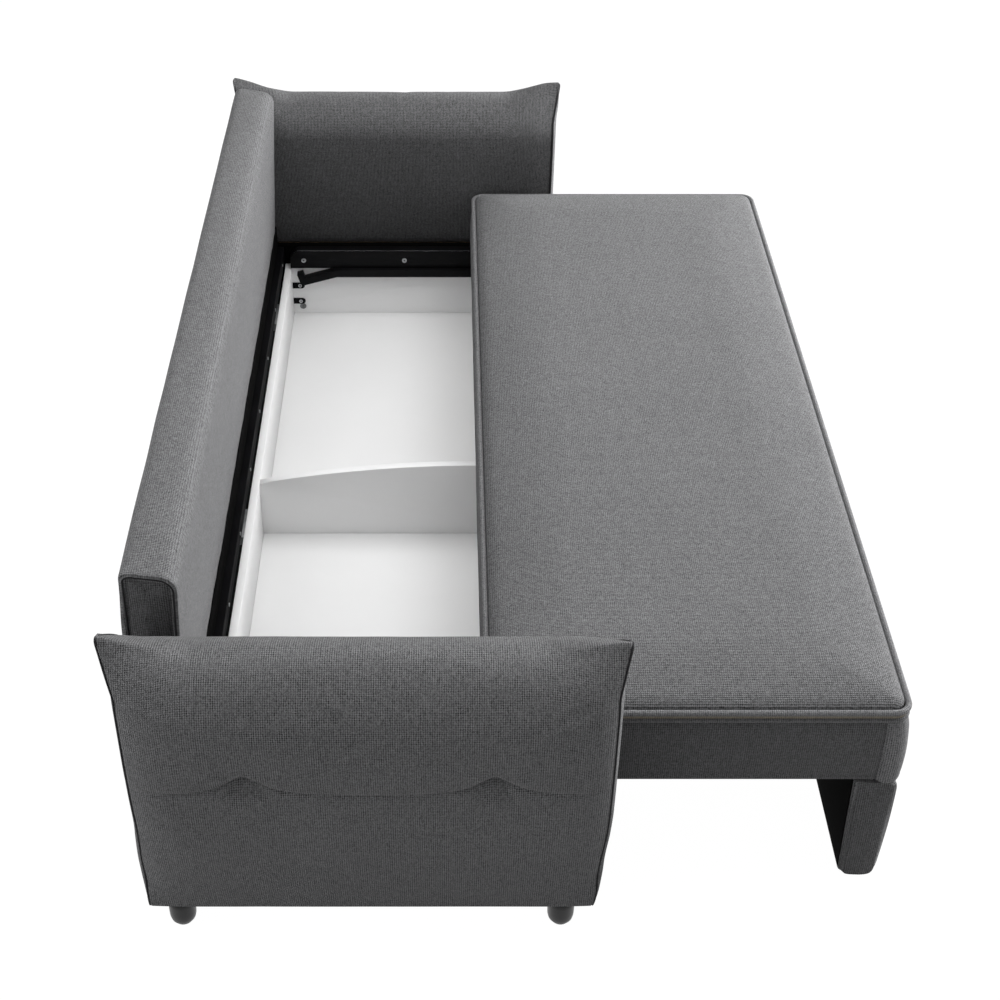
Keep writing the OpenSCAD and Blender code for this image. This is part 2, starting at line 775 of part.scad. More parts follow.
module seat_webbing() {
  z = seat_bottom + lining_t + rail_h;
  x1 = seat_len / 2 - frame_inset - rail_w;
  pitch = 2 * x1 / strap_count;
  color(lining_black) union() {
    for (k = [0:strap_count - 1]) {
      x = -x1 + (k + 0.5) * pitch;
      block([x - strap_w / 2, seat_front + frame_inset + 4, z],
            [x + strap_w / 2, seat_rear - frame_inset - 4, z + strap_t]);
    }
    for (k = [1:3]) {
      y = seat_front + k * seat_depth / 4;
      block([-x1 - rail_w + 8, y - strap_w / 2, z], [x1 + rail_w - 8, y + strap_w / 2, z + strap_t]);
    }
  }
}

module seat_lining() {
  color(lining_black) seat_slab(frame_inset, seat_bottom, seat_bottom + lining_t);
}

cushion_insets = [0, 4, 12, 30, 70, 140, 230, 320];
cushion_steps = 5;
function cushion_ring(d, z) =
  [for (p = rounded_outline(seat_len - 2 * d, seat_depth - 2 * d, max(6, seat_corner_r - d * 0.3), cushion_steps))
    [p[0], p[1] + seat_front + seat_depth / 2, z]];
function crown_z(d) =
  welt_z + crown_h * (1 - pow(1 - min(1, d / (seat_depth / 2)), 2.6));
cushion_side = upper_welt_d + soft_gap;
cushion_edge_rise = 2;
module seat_cushion() {
  z0 = apron_top + soft_gap;
  rings = concat(
    [cushion_ring(frame_inset, cushion_low), cushion_ring(frame_inset, z0),
     cushion_ring(cushion_side, z0),
     cushion_ring(cushion_side + border_draw, (z0 + welt_z) / 2),
     cushion_ring(cushion_side, welt_z)],
    [for (d = cushion_insets) cushion_ring(d + cushion_side, crown_z(d) + cushion_edge_rise)]);
  color(fabric) ring_solid(rings);
}

// A welt round the seat, with its outer side d0 inside the seat's outline
module seat_welt(d0, d, z) {
  w = seat_len - 2 * d0 - d;
  h = seat_depth - 2 * d0 - d;
  r = seat_corner_r - d0 - d / 2;
  color(dark_fabric) translate([0, seat_front + seat_depth / 2, z]) union() {
    for (sx = [-1, 1]) translate([sx * w / 2, -h / 2 + r, 0]) rotate([-90, 0, 0]) cylinder(d = d, h = h - 2 * r);
    for (sy = [-1, 1]) translate([-w / 2 + r, sy * h / 2, 0]) rotate([0, 90, 0]) cylinder(d = d, h = w - 2 * r);
    for (c = [0:3]) {
      sx = (c == 0 || c == 3) ? 1 : -1;
      sy = (c < 2) ? 1 : -1;
      translate([sx * (w / 2 - r), sy * (h / 2 - r), 0]) rotate([0, 0, c * 90])
        rotate_extrude(angle = 90) translate([r, 0]) circle(d = d);
    }
  }
}

module upper_welt() {
  seat_welt(0, upper_welt_d, welt_z);
}

module lower_welt() {
  seat_welt(apron_inset / 2, lower_welt_d, apron_top + soft_gap + lower_welt_d / 2);
}

// Leg panel under the seat's front edge
fascia_top = seat_bottom - fascia_gap;
fascia_end = seat_len / 2 - fascia_end_inset;
fascia_low = glide_h;
function fascia_outline(d) =
  let (z0 = fascia_low + d, z1 = fascia_top - d, r = max(1, fascia_r - d),
       y0 = seat_front + fascia_sag + d, y1 = seat_front + fascia_sag + fascia_foot_t - d)
  concat(
    [[seat_front + d, z1]],
    [for (k = [0:6]) let (a = 180 + 15 * k) [y0 + r + r * cos(a), z0 + r + r * sin(a)]],
    [for (k = [0:6]) let (a = 270 + 15 * k) [y1 - r + r * cos(a), z0 + r + r * sin(a)]],
    [[seat_front + fascia_top_t - d, z1]]);
board_y = seat_front + fascia_sag + (fascia_foot_t - fascia_board_t) / 2;
board_low = fascia_low + 12;
board_end = fascia_end - 12;

module fascia_board() {
  color(timber)
    block([-board_end, board_y, board_low], [board_end, board_y + fascia_board_t, fascia_top]);
}

lining_inset = 4;
module fascia_cover() {
  color(fabric) difference() {
    along_x(-fascia_end, fascia_end) polygon(fascia_outline(0));
    block([-board_end - soft_gap, board_y - soft_gap, board_low - soft_gap],
          [board_end + soft_gap, board_y + fascia_board_t + soft_gap, fascia_top + 1]);
  }
}

// Black lining on the leg panel's inner face, which leans as the cover does
module fascia_lining() {
  z0 = fascia_low + fascia_r + 2;
  z1 = fascia_top - 1;
  y0 = fascia_foot_inner + soft_gap;
  y1 = fascia_inner + soft_gap;
  color(lining_black)
    along_x(-fascia_end + lining_inset, fascia_end - lining_inset)
      polygon([[y0, z0], [y0 + lining_t, z0], [y1 + lining_t, z1], [y1, z1]]);
}

// Blocks that hang the leg panel on the seat frame
hanger_count = 4;
hanger_w = 60;
hanger_end = 80;
module fascia_brackets() {
  color(steel_black)
    for (k = [0:hanger_count - 1]) {
      x = -board_end + hanger_end + k * 2 * (board_end - hanger_end) / (hanger_count - 1);
      block([x - hanger_w / 2, board_y, fascia_top], [x + hanger_w / 2, board_y + fascia_board_t, seat_bottom]);
    }
}

glide_end = 60;
module fascia_glides() {
  color(lining_black)
    for (k = [0:glide_count - 1]) {
      x = -board_end + glide_end + k * 2 * (board_end - glide_end) / (glide_count - 1);
      translate([x, board_y + fascia_board_t / 2, 0]) cylinder(d1 = glide_d - 3, d2 = glide_d, h = glide_h);
    }
}

// Rollers at the seat's ends run on the tracks
roller_y = front_wall_in + roller_inset;
roller_z = track_top + roller_d / 2 + soft_gap;
roller_x = track_in + 1;

module roller() {
  color([0.85, 0.85, 0.85]) translate([roller_x, roller_y, roller_z]) rotate([0, 90, 0]) difference() {
    union() {
      cylinder(d = roller_d, h = roller_w);
      translate([0, 0, -1]) cylinder(d = axle_d + 8, h = roller_w + 2);
    }
    translate([0, 0, -2]) cylinder(d = axle_d + 2 * run_gap, h = roller_w + 4);
  }
}

// The bracket hangs from the seat frame and holds the roller's axle
module roller_bracket() {
  x0 = roller_x - 2 - plate_t;
  color(steel_black) union() {
    block([x0, roller_y - 22, roller_z - 8], [x0 + plate_t, roller_y + 22, seat_bottom]);
    block([x0 - 36, roller_y - 30, seat_bottom - plate_t], [x0 + plate_t, roller_y + 30, seat_bottom]);
    translate([x0, roller_y, roller_z]) rotate([0, 90, 0]) cylinder(d = axle_d, h = plate_t + 2 + roller_w);
  }
}

arm_frame();  // left_arm_frame
right_side() arm_frame();  // right_arm_frame
rail_board();  // left_rail_board
right_side() rail_board();  // right_rail_board
arm_cover();  // left_arm_cover
right_side() arm_cover();  // right_arm_cover
arm_welts();  // left_arm_welts
right_side() arm_welts();  // right_arm_welts
foot_at(foot_ys[0]);  // front_left_foot
foot_at(foot_ys[1]);  // rear_left_foot
right_side() foot_at(foot_ys[0]);  // front_right_foot
right_side() foot_at(foot_ys[1]);  // rear_right_foot
rear_beam();
rear_cover();
backrest_frame();
backrest_cover();
backrest_welts();
backrest_bolts();
box_back_wall();
box_front_wall();
end_wall();  // left_end_wall
right_side() end_wall();  // right_end_wall
floor_panel();  // left_floor
right_side() floor_panel();  // right_floor
divider();
wall_brackets();
corner_tabs();
tab_rivets();
cam_connectors();
side_rail();  // left_side_rail
right_side() side_rail();  // right_side_rail
track();  // left_track
right_side() track();  // right_track
rear_crossbar();
rail_bolts();
crossbar_screws();
seat_frame();
seat_webbing();
seat_cushion();
seat_apron();
upper_welt();
lower_welt();
seat_lining();
fascia_board();
fascia_cover();
fascia_lining();
fascia_brackets();
fascia_glides();
roller_bracket();  // left_roller_bracket
right_side() roller_bracket();  // right_roller_bracket
roller();  // left_roller
right_side() roller();  // right_roller
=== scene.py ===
"""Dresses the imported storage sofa: fabric, piping, laminate and steel, and a plain studio."""

import json
import math

import bmesh
import bpy
import numpy as np
from bpy.props import FloatProperty, FloatVectorProperty, PointerProperty
from mathutils import Matrix, Vector, noise


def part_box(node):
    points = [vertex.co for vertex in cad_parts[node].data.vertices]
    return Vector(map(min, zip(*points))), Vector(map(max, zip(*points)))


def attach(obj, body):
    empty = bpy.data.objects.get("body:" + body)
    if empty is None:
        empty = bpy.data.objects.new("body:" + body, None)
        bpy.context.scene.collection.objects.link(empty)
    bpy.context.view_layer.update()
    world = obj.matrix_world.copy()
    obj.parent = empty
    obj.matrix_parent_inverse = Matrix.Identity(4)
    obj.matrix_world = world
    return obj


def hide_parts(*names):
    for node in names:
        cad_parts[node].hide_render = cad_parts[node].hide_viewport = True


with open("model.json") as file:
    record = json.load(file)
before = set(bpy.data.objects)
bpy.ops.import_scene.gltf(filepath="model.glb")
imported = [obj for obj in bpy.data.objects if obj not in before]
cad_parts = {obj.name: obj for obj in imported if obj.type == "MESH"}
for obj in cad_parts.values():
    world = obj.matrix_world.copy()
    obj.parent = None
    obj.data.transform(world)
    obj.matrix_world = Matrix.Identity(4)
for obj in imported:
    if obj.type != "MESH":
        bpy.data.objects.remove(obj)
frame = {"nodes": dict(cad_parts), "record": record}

bl_info = {
    "name": "Storage Sofa",
    "version": (1, 0, 0),
    "blender": (4, 5, 0),
    "location": "View3D > Sidebar > Sofa",
    "description": "Builds the upholstery, storage box, steelwork and studio of a storage sofa",
    "category": "Object",
}

# The map that the cloths' weave follows
WEAVE_UV = "weave"

# A corner of a block lies on one of its sides when it is this close to it
ON_SIDE = 1e-6

# Corners of a CAD mesh that are one, the bend of a flat face, and the least bend of an edge that is rounded
MERGED = 0.00002
FLAT, SHARP = math.radians(0.5), math.radians(30)

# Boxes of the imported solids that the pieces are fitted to
ARM_LOW, ARM_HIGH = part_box("left_arm_cover")
SEAT_LOW, SEAT_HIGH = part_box("upper_welt")
BACK_LOW, BACK_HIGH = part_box("backrest_cover")


def length(name, text, value, low=0.0, high=4.0):
    return FloatProperty(name=name, description=text, default=value, min=low, max=high,
                         subtype="DISTANCE", unit="LENGTH", precision=4)


def tint(name, text, value):
    return FloatVectorProperty(name=name, description=text, default=value, size=3,
                               min=0.0, max=1.0, subtype="COLOR")


class SofaSizes(bpy.types.PropertyGroup):
    """Sizes of the upholstery and fittings."""

    thread_pitch: length("Thread pitch", "Distance between two threads of the cloth", 0.0019, 0.0005, 0.02)
    arm_top: length("Arm top", "Height of the arm's top between its ears", 0.673)
    arm_round: length("Outer rounding", "Height of the arm's outer top rounding", 0.100, 0.02, 0.2)
    inner_round: length("Inner rounding", "Height of the arm's inner top rounding", 0.085, 0.02, 0.2)
    end_draw: length("End draw", "How far the arm's outer face rounds in at its ends", 0.027, 0.0, 0.05)
    ear_front: length("Front ear", "Rise of the front ear", 0.034, 0.0, 0.1)
    ear_rear: length("Rear ear", "Rise of the rear ear", 0.047, 0.0, 0.1)
    ear_run: length("Ear run", "Length of an ear along the arm's top", 0.130, 0.05, 0.4)
    front_flare: length("Front flare", "How far the front ear flares past the arm's foot", 0.021, 0.0, 0.06)
    rear_flare: length("Rear flare", "How far the rear ear flares past the arm's foot", 0.029, 0.0, 0.06)
    foot_draw: length("Foot draw", "How far the arm's outer face draws in at the foot", 0.064, 0.0, 0.1)
    tuft_edge: length("Tuft place", "Distance of a tuft from the arm's edge", 0.200, 0.05, 0.4)
    tuft_height: length("Tuft height", "Height of the tufts above the floor", 0.463, 0.3, 0.6)
    tuft_depth: length("Tuft depth", "How deep a tuft is drawn in", 0.031, 0.0, 0.05)
    swag_drop: length("Swag", "Drop of the crease between the tufts", 0.036, 0.0, 0.1)
    crease_depth: length("Crease depth", "How deep the crease is drawn in", 0.008, 0.0, 0.03)
    outer_piping: length("Outer arm piping", "Thickness on the arm's outer edges", 0.0040, 0.002, 0.02)
    inner_piping: length("Inner arm piping", "Thickness on the arm's inner edges", 0.0065, 0.002, 0.02)
    seat_corner: length("Seat corner", "Radius of the seat's corners in plan", 0.035, 0.01, 0.1)
    seat_crown: length("Seat crown", "Rise of the seat in its middle", 0.018, 0.0, 0.06)
    upper_piping: length("Upper piping", "Thickness round the seat's top", 0.012, 0.004, 0.02)
    lower_piping: length("Lower piping", "Thickness under the seat's border", 0.009, 0.004, 0.02)
    back_edge: length("Backrest edge", "Radius of the backrest's long edges", 0.030, 0.005, 0.04)
    board_edge: length("Board edge", "Rounding of the laminated boards' edges", 0.0012, 0.0002, 0.004)


class SofaColours(bpy.types.PropertyGroup):
    """Colours of the finishes."""

    cloth: tint("Cloth", "Woven cover", (0.111, 0.111, 0.114))
    piping: tint("Piping", "Piping on the arms and backrest", (0.012, 0.012, 0.013))
    zip_tape: tint("Zip tape", "Tape between the two welts of the seat", (0.190, 0.167, 0.130))
    lining: tint("Lining", "Black lining and base cloth", (0.002, 0.002, 0.002))
    laminate: tint("Laminate", "White boards of the storage box", (0.910, 0.910, 0.910))
    steel: tint("Steel", "Powder coated steel", (0.004, 0.004, 0.0045))
    zinc: tint("Zinc", "Plated screws", (0.640, 0.650, 0.670))
    dull_zinc: tint("Dull zinc", "Plated brackets and cam discs", (0.300, 0.305, 0.310))
    timber: tint("Timber", "Frames", (0.560, 0.390, 0.230))
    plastic: tint("Plastic", "Feet and glides", (0.004, 0.004, 0.0045))
    nylon: tint("Nylon", "Rollers", (0.700, 0.700, 0.690))
    floor: tint("Floor", "Studio floor", (0.400, 0.400, 0.400))


def sizes():
    return bpy.context.scene.sofa_sizes


def colours():
    return bpy.context.scene.sofa_colours


# Materials


def add(tree, kind, inputs=None, **settings):
    """Adds a shader node. An input is a number, a vector, a colour or another node's output."""
    made = tree.nodes.new("ShaderNode" + kind)
    for key, value in settings.items():
        setattr(made, key, value)
    for key, value in (inputs or {}).items():
        if isinstance(value, bpy.types.NodeSocket):
            tree.links.new(value, made.inputs[key])
        else:
            made.inputs[key].default_value = value
    return made


class Finish:
    """A Principled material in the making, with short ways to add the nodes before its shader."""

    def __init__(self, name, colour, roughness, constants=None):
        self.colour = (*colour, 1.0)
        self.material = bpy.data.materials.new(name)
        self.material.use_nodes = True
        self.material.diffuse_color = self.colour
        self.tree = self.material.node_tree
        self.tree.nodes.clear()
        fixed = {"Base Color": self.colour, "Roughness": roughness, **(constants or {})}
        self.main = self.add("BsdfPrincipled", fixed)
        self.add("OutputMaterial", {"Surface": self.main.outputs[0]})

    def add(self, kind, inputs=None, **settings):
        return add(self.tree, kind, inputs, **settings)

    def place(self):
        return self.add("TexCoord").outputs["Object"]

    def maths(self, operation, first, second):
        return self.add("Math", {0: first, 1: second}, operation=operation).outputs[0]

    def plus(self, first, second):
        return self.maths("ADD", first, second)

    def times(self, first, second):
        return self.maths("MULTIPLY", first, second)

    def vectored(self, operation, *values):
        return self.add("VectorMath", dict(enumerate(values)), operation=operation).outputs[0]

    def spread(self, source, to_low, to_high, low=0.3, high=0.7):
        """Spreads a value from its own range, most often that of a noise, over another."""
        made = self.add("MapRange", {"Value": source, "From Min": low, "From Max": high,
                                     "To Min": to_low, "To Max": to_high})
        return made.outputs["Result"]

    def scaled(self, vector, scale):
        return self.add("Mapping", {"Vector": vector, "Scale": scale}).outputs[0]

    def noisy(self, vector, scale, detail=2.0, rough=0.5):
        made = self.add("TexNoise", {"Vector": vector, "Scale": scale, "Detail": detail, "Roughness": rough})
        return made.outputs["Fac"]

    def bands(self, vector, scale, direction):
        made = self.add("TexWave", {"Vector": vector, "Scale": scale}, wave_type="BANDS",
                        bands_direction=direction)
        return made.outputs["Fac"]

    def done(self, tone, height, strength, distance, roughness=None):
        """Multiplies the colour by a tone, joins the bump and the roughness, and gives the material."""
        grey = self.add("CombineColor", dict.fromkeys(range(3), tone)).outputs[0]
        toned = self.add("Mix", {"Factor": 1.0, 6: self.colour, 7: grey}, data_type="RGBA",
                         blend_type="MULTIPLY").outputs[2]
        bump = self.add("Bump", {"Strength": strength, "Distance": distance, "Height": height}).outputs[0]
        for key, source in (("Base Color", toned), ("Normal", bump), ("Roughness", roughness)):
            if source:
                self.tree.links.new(source, self.main.inputs[key])
        return self.material


def weave_cloth(name, colour, contrast=1.0, sheen=0.06, crest=None):
    """Plain weave of slubbed yarn, on the piece's own metric map. Past the crest of an arm, on its inner
    face, shade
    is painted into the cloth: it is made darker, more so towards the foot."""
    f = Finish(name, colour, 0.94,
               {"Sheen Weight": sheen, "Sheen Roughness": 0.5, "Specular IOR Level": 0.2})
    uv = f.add("UVMap", uv_map=WEAVE_UV).outputs[0]
    pitch = sizes().thread_pitch
    one_band = 2 * math.pi / 20 / pitch
    cells = f.scaled(uv, (1 / pitch, 1 / pitch, 1))
    numbers = f.vectored("FLOOR", cells)

    def either_way(value, limit, low=0.0, high=1.0):
        return f.spread(value, -limit * contrast, limit * contrast, low, high)

    def thread_tone(number, run, limit):
        """The tone of each thread: its number sets it, and it changes slowly along its run."""
        point = f.vectored("ADD", f.vectored("MULTIPLY", numbers, number), f.vectored("MULTIPLY", cells, run))
        return either_way(f.noisy(point, 1.0, 1.0), limit, 0.25, 0.75)

    over = f.add("TexChecker", {"Vector": uv, "Scale": 1.0 / pitch}).outputs["Fac"]
    under = f.maths("SUBTRACT", 1.0, over)
    threads = f.plus(f.times(f.bands(uv, one_band, "X"), over), f.times(f.bands(uv, one_band, "Y"), under))
    stitch = f.add("TexWhiteNoise", {"Vector": numbers}, noise_dimensions="2D").outputs["Value"]
    fleck = either_way(stitch, 0.35)
    for direction, limit in (("X", 0.42), ("Y", 0.28)):
        pair = either_way(f.bands(uv, one_band / 2, direction), limit)
        fleck = f.plus(fleck, f.times(pair, f.spread(f.noisy(uv, 42.0, 1.0), 0.35, 1.4)))
    slub = f.plus(thread_tone((7.31, 0, 0), (0, 1 / 9.0, 0), 0.18),
                  thread_tone((0, 7.31, 0), (1 / 7.0, 0, 0), 0.11))
    slub = f.plus(f.plus(slub, fleck), f.spread(f.noisy(uv, 3.0, 3.0), -0.03, 0.03))
    tone = f.times(f.spread(threads, 0.72, 1.10, 0.0, 0.8), f.plus(slub, 1.0))
    # Painted shade: past the crest, on the arm's inner face, the cloth is darkened, more so towards the foot
    if crest:
        run = f.add("SeparateXYZ", {0: uv}).outputs["Y"]
        painted_shade = f.times(f.spread(run, 1.0, 0.76, crest - 0.005, crest + 0.040),
                      f.spread(run, 1.0, 0.66, crest + 0.15, crest + 0.46))
        tone = f.times(tone, painted_shade)
    relief = f.plus(threads, f.times(slub, 0.8))
    return f.done(tone, relief, 0.55, 0.0007, f.spread(slub, 1.0, 0.88, -0.5, 0.5))


def base_cloth(name, colour):
    """Black non-woven cloth with its pressed dimples."""
    f = Finish(name, colour, 0.95, {"Specular IOR Level": 0.02})
    place = f.place()
    dots = f.add("TexVoronoi", {"Vector": place, "Scale": 420.0}, feature="F1").outputs["Distance"]
    fibre = f.noisy(place, 900.0, 3.0)
    tone = f.plus(f.spread(dots, 0.7, 1.3, 0.0, 0.7), f.spread(fibre, -0.25, 0.25))
    return f.done(tone, dots, 0.4, 0.0004)


def melamine(name, colour):
    """White laminate with a faint grain in its gloss and small scuffs."""
    f = Finish(name, colour, 0.50, {"Specular IOR Level": 0.25})
    place = f.place()
    peel = f.noisy(place, 260.0)
    cloud = f.noisy(place, 2.2, 4.0)
    scuff = f.noisy(f.scaled(place, (1, 14, 14)), 5.0, 5.0, 0.65)
    roughness = f.plus(f.spread(scuff, 0.42, 0.60, 0.35, 0.75), f.spread(peel, -0.03, 0.03))
    return f.done(f.spread(cloud, 0.975, 1.02), peel, 0.10, 0.0002, roughness)


def powder_coat(name, colour, roughness=0.36, gloss=0.08):
    """Black powder coat: a fine orange peel, and a little dust."""
    f = Finish(name, colour, roughness, {"Specular IOR Level": gloss})
    place = f.place()
    cloud = f.noisy(place, 9.0, 4.0)
    return f.done(f.spread(cloud, 0.75, 1.5), f.noisy(place, 700.0), 0.25, 0.0002,
                  f.spread(cloud, roughness - 0.05, roughness + 0.12))


def plating(name, colour, rough=0.0):
    """Zinc plated steel, brushed and slightly clouded."""
    f = Finish(name, colour, 0.32 + rough, {"Metallic": 1.0})
    place = f.place()
    cloud = f.noisy(place, 60.0, 4.0)
    brush = f.noisy(f.scaled(place, (1, 1, 30)), 60.0, 3.0)
    return f.done(f.spread(cloud, 0.85, 1.12), brush, 0.15, 0.0002,
                  f.spread(brush, 0.24 + rough, 0.46 + rough))


def pine(name, colour):
    """Planed pine with its grain along X."""
    f = Finish(name, colour, 0.62)
    place = f.place()
    grain = f.noisy(f.scaled(place, (1.5, 42, 42)), 1.6, 5.0, 0.6)
    rings = f.noisy(f.scaled(place, (0.6, 12, 12)), 1.2, 3.0)
    tone = f.plus(f.spread(grain, 0.72, 1.12), f.spread(rings, -0.14, 0.14))
    return f.done(tone, grain, 0.3, 0.0004, f.spread(grain, 0.72, 0.52))


def moulded(name, colour, roughness):
    """Moulded plastic with a fine spark texture."""
    f = Finish(name, colour, roughness, {"Specular IOR Level": 0.3})
    place = f.place()
    cloud = f.noisy(place, 25.0, 3.0)
    return f.done(f.spread(cloud, 0.85, 1.25), f.noisy(place, 1200.0), 0.2, 0.0002,
                  f.spread(cloud, roughness - 0.04, roughness + 0.1))


def elastic(name, colour):
    """Elastic webbing with ribs across its width."""
    f = Finish(name, colour, 0.85, {"Sheen Weight": 0.1})
    place = f.place()
    ribs = f.bands(place, 110.0, "DIAGONAL")
    tone = f.plus(f.spread(ribs, 0.6, 1.3, 0.0, 1.0), f.spread(f.noisy(place, 500.0), -0.2, 0.2))
    return f.done(tone, ribs, 0.4, 0.0006)


finishes = {}


def make_finishes():
    c = colours()

    # Scales a colour to make lit and shaded copies of a finish: painted light and shade
    def painted_light_scale(colour, factor):
        return tuple(value * factor for value in colour)

    finishes.update(
        upholstery=weave_cloth("woven cloth", c.cloth),
        # The arm cloth carries painted shade past the crest, on the inner face
        arm=weave_cloth("arm cloth", c.cloth, crest=ArmForm(LEFT_SEED).crest()),
        piping=weave_cloth("piping cloth", c.piping, 0.6, 0.04),
        welt=weave_cloth("welt cloth", c.cloth, 0.8),
        # The upper welt is a brighter copy of the cloth, a painted highlight
        upper_welt=weave_cloth("upper welt cloth", painted_light_scale(c.cloth, 1.3), 0.8),
        # The end panels take a darker copy of the cloth, painted shade
        flank=weave_cloth("end panel cloth", painted_light_scale(c.cloth, 0.70)),
        # The apron's front and corners take a brighter copy of the cloth, painted light
        front=weave_cloth("front panel cloth", painted_light_scale(c.cloth, 1.20)),
        tape=weave_cloth("zip tape", c.zip_tape, 0.5, 0.04),
        black_lining=base_cloth("base cloth", c.lining),
        laminate=melamine("white laminate", c.laminate),
        black_steel=powder_coat("black powder coat", c.steel),
        matt_steel=powder_coat("matt black paint", c.steel, 0.62, 0.02),
        zinc=plating("zinc plating", c.zinc),
        dull_zinc=plating("dull zinc plating", c.dull_zinc, 0.2),
        # A brighter zinc for the rails' crown, a painted highlight
        satin_zinc=plating("highlight zinc plating", painted_light_scale(c.zinc, 1.45), 0.40),
        timber=pine("planed pine", c.timber),
        black_plastic=moulded("black plastic", c.plastic, 0.34),
        nylon=moulded("roller nylon", c.nylon, 0.45),
        webbing=elastic("elastic webbing", c.lining),
    )


# Curves that shape the soft pieces


def ease(low, high, value):
    """Rises smoothly from 0 to 1 between two values."""
    t = np.clip((value - low) / (high - low), 0.0, 1.0)
    return t * t * (3 - 2 * t)


def bell(distance, width, power=2):
    """1 at no distance, and fading to nothing past the width."""
    return math.exp(-((distance / width) ** power))


def quarter(distance, radius):
    """Height of a quarter circle, from 0 at its start to 1 where the radius is reached."""
    return math.sqrt(max(0.0, 1 - (1 - min(1.0, distance / radius)) ** 2))


def soft_noise(point, scale, seed=0.0):
    """Smooth noise from -1 to 1 at a point."""
    x, y, z = point
    return noise.noise(Vector((x * scale + seed, y * scale - seed, z * scale + 2 * seed)))


# Meshes


def piece(name, bm, finish, body, replaces=(), slot=None, sharp=38.0, extra=()):
    """Turns a bmesh into a piece of the sofa."""
    mesh = bpy.data.meshes.new(name)
    bm.to_mesh(mesh)
    bm.free()
    for key in (finish, *extra):
        mesh.materials.append(finishes[key])
    mesh.shade_smooth()
    mesh.set_sharp_from_angle(angle=math.radians(sharp))
    made = bpy.data.objects.new(name, mesh)
    bpy.context.scene.collection.objects.link(made)
    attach(made, body)
    if replaces:
        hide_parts(*replaces)
    slot or finish
    return made


def unit_block(*counts):
    """A cube from 0 to 1, cut into a grid."""
    bm = bmesh.new()
    bmesh.ops.create_cube(bm, size=1.0, matrix=Matrix.Translation((0.5, 0.5, 0.5)))
    for axis, count in enumerate(counts):
        if count > 1:
            along = [e for e in bm.edges
                     if abs((e.verts[0].co - e.verts[1].co).normalized()[axis]) > 0.5]
            bmesh.ops.subdivide_edges(bm, edges=along, cuts=count - 1, use_grid_fill=True)
    return bm


def main_axis(face):
    return max(range(3), key=lambda k: abs(face.normal[k]))


def place_block(bm, shape, patch, panel=None):
    """Moves each corner to shape(a, b, c), and maps each face by patch(side, a, b, c, place).
    panel(side, a, b, c) gives the finish number of a face from its middle."""
    start = {v: v.co.copy() for v in bm.verts}
    sides = {}
    for face in bm.faces:
        axis = main_axis(face)
        sides[face] = "xyz"[axis] + ("+" if face.normal[axis] > 0 else "-")
        if panel:
            face.material_index = panel(sides[face], *face.calc_center_median())
    for v, at in start.items():
        v.co = shape(*at)
    layer = bm.loops.layers.uv.new(WEAVE_UV)
    for face, side in sides.items():
        for loop in face.loops:
            loop[layer].uv = patch(side, *start[loop.vert], loop.vert.co)
    bm.normal_update()


def flat_patch(side, a, b, c, at):
    """Maps a face straight onto the plane that it looks along."""
    return {"x": at.yz, "y": at.xz, "z": at.xy}[side[0]]


def box_map(bm):
    """Gives each face a metric map across its main direction."""
    layer = bm.loops.layers.uv.get(WEAVE_UV) or bm.loops.layers.uv.new(WEAVE_UV)
    for face in bm.faces:
        side = "xyz"[main_axis(face)]
        for loop in face.loops:
            loop[layer].uv = flat_patch(side, 0, 0, 0, loop.vert.co)


def outwards(bm):
    bmesh.ops.recalc_face_normals(bm, faces=bm.faces)


def mirror(bm):
    """Turns a shape over to the other end of the sofa."""
    bmesh.ops.scale(bm, vec=(-1, 1, 1), verts=bm.verts)
    bmesh.ops.reverse_faces(bm, faces=bm.faces)


def running(points):
    """The length of a path up to each of its points."""
    run = [0.0]
    for before, after in zip(points, points[1:]):
        run.append(run[-1] + (Vector(after) - Vector(before)).length)
    return run


def sweep(bm, path, profile, closed=False, up=(0, 0, 1)):
    """Carries a closed outline along a path. The outline is a list of (sideways, up), or a function of
    the run. Sideways is to the right of the path's heading, which is inward on a clockwise ring."""
    up, n = Vector(up), len(path)
    outline = profile if callable(profile) else lambda run: profile
    count = len(outline(0.0))
    layer = bm.loops.layers.uv.get(WEAVE_UV) or bm.loops.layers.uv.new(WEAVE_UV)
    run = running(path + path[:1] if closed else path)
    girth = running(outline(0.0) + outline(0.0)[:1])

    def ring(k):
        before = path[(k - 1) % n] if closed or k > 0 else path[k]
        after = path[(k + 1) % n] if closed or k < n - 1 else path[k]
        ahead = (after - before).normalized()
        out = ahead.cross(up).normalized()
        rise = out.cross(ahead).normalized()
        return [path[k] + out * p[0] + rise * p[1] for p in outline(run[k])]

    def ring_edges(row):
        return [bm.edges.get((row[j], row[(j + 1) % count])) for j in range(count)]

    rows = [[bm.verts.new(p) for p in ring(0)]]
    edges = [bm.edges.new((rows[0][j], rows[0][(j + 1) % count])) for j in range(count)]
    current = edges
    for k in range(1, n):
        made = bmesh.ops.extrude_edge_only(bm, edges=current)["geom"]
        fresh = [v for v in made if isinstance(v, bmesh.types.BMVert)]
        partner = {e.other_vert(v): v for v in fresh for e in v.link_edges if e.other_vert(v) in rows[-1]}
        rows.append([partner[v] for v in rows[-1]])
        for v, p in zip(rows[-1], ring(k)):
            v.co = p
        current = ring_edges(rows[-1])
    if closed:
        bmesh.ops.bridge_loops(bm, edges=edges + current)
    where = {v: (k, j) for k, row in enumerate(rows) for j, v in enumerate(row)}
    for face in bm.faces:
        spots = [where.get(loop.vert) for loop in face.loops]
        if None in spots:
            continue
        last_step, last_side = (max(s[i] for s in spots) - min(s[i] for s in spots) > 1 for i in (0, 1))
        for loop, (k, j) in zip(face.loops, spots):
            k = n if last_step and k == 0 else k
            j = count if last_side and j == 0 else j
            loop[layer].uv = (run[k], girth[j])
    return rows


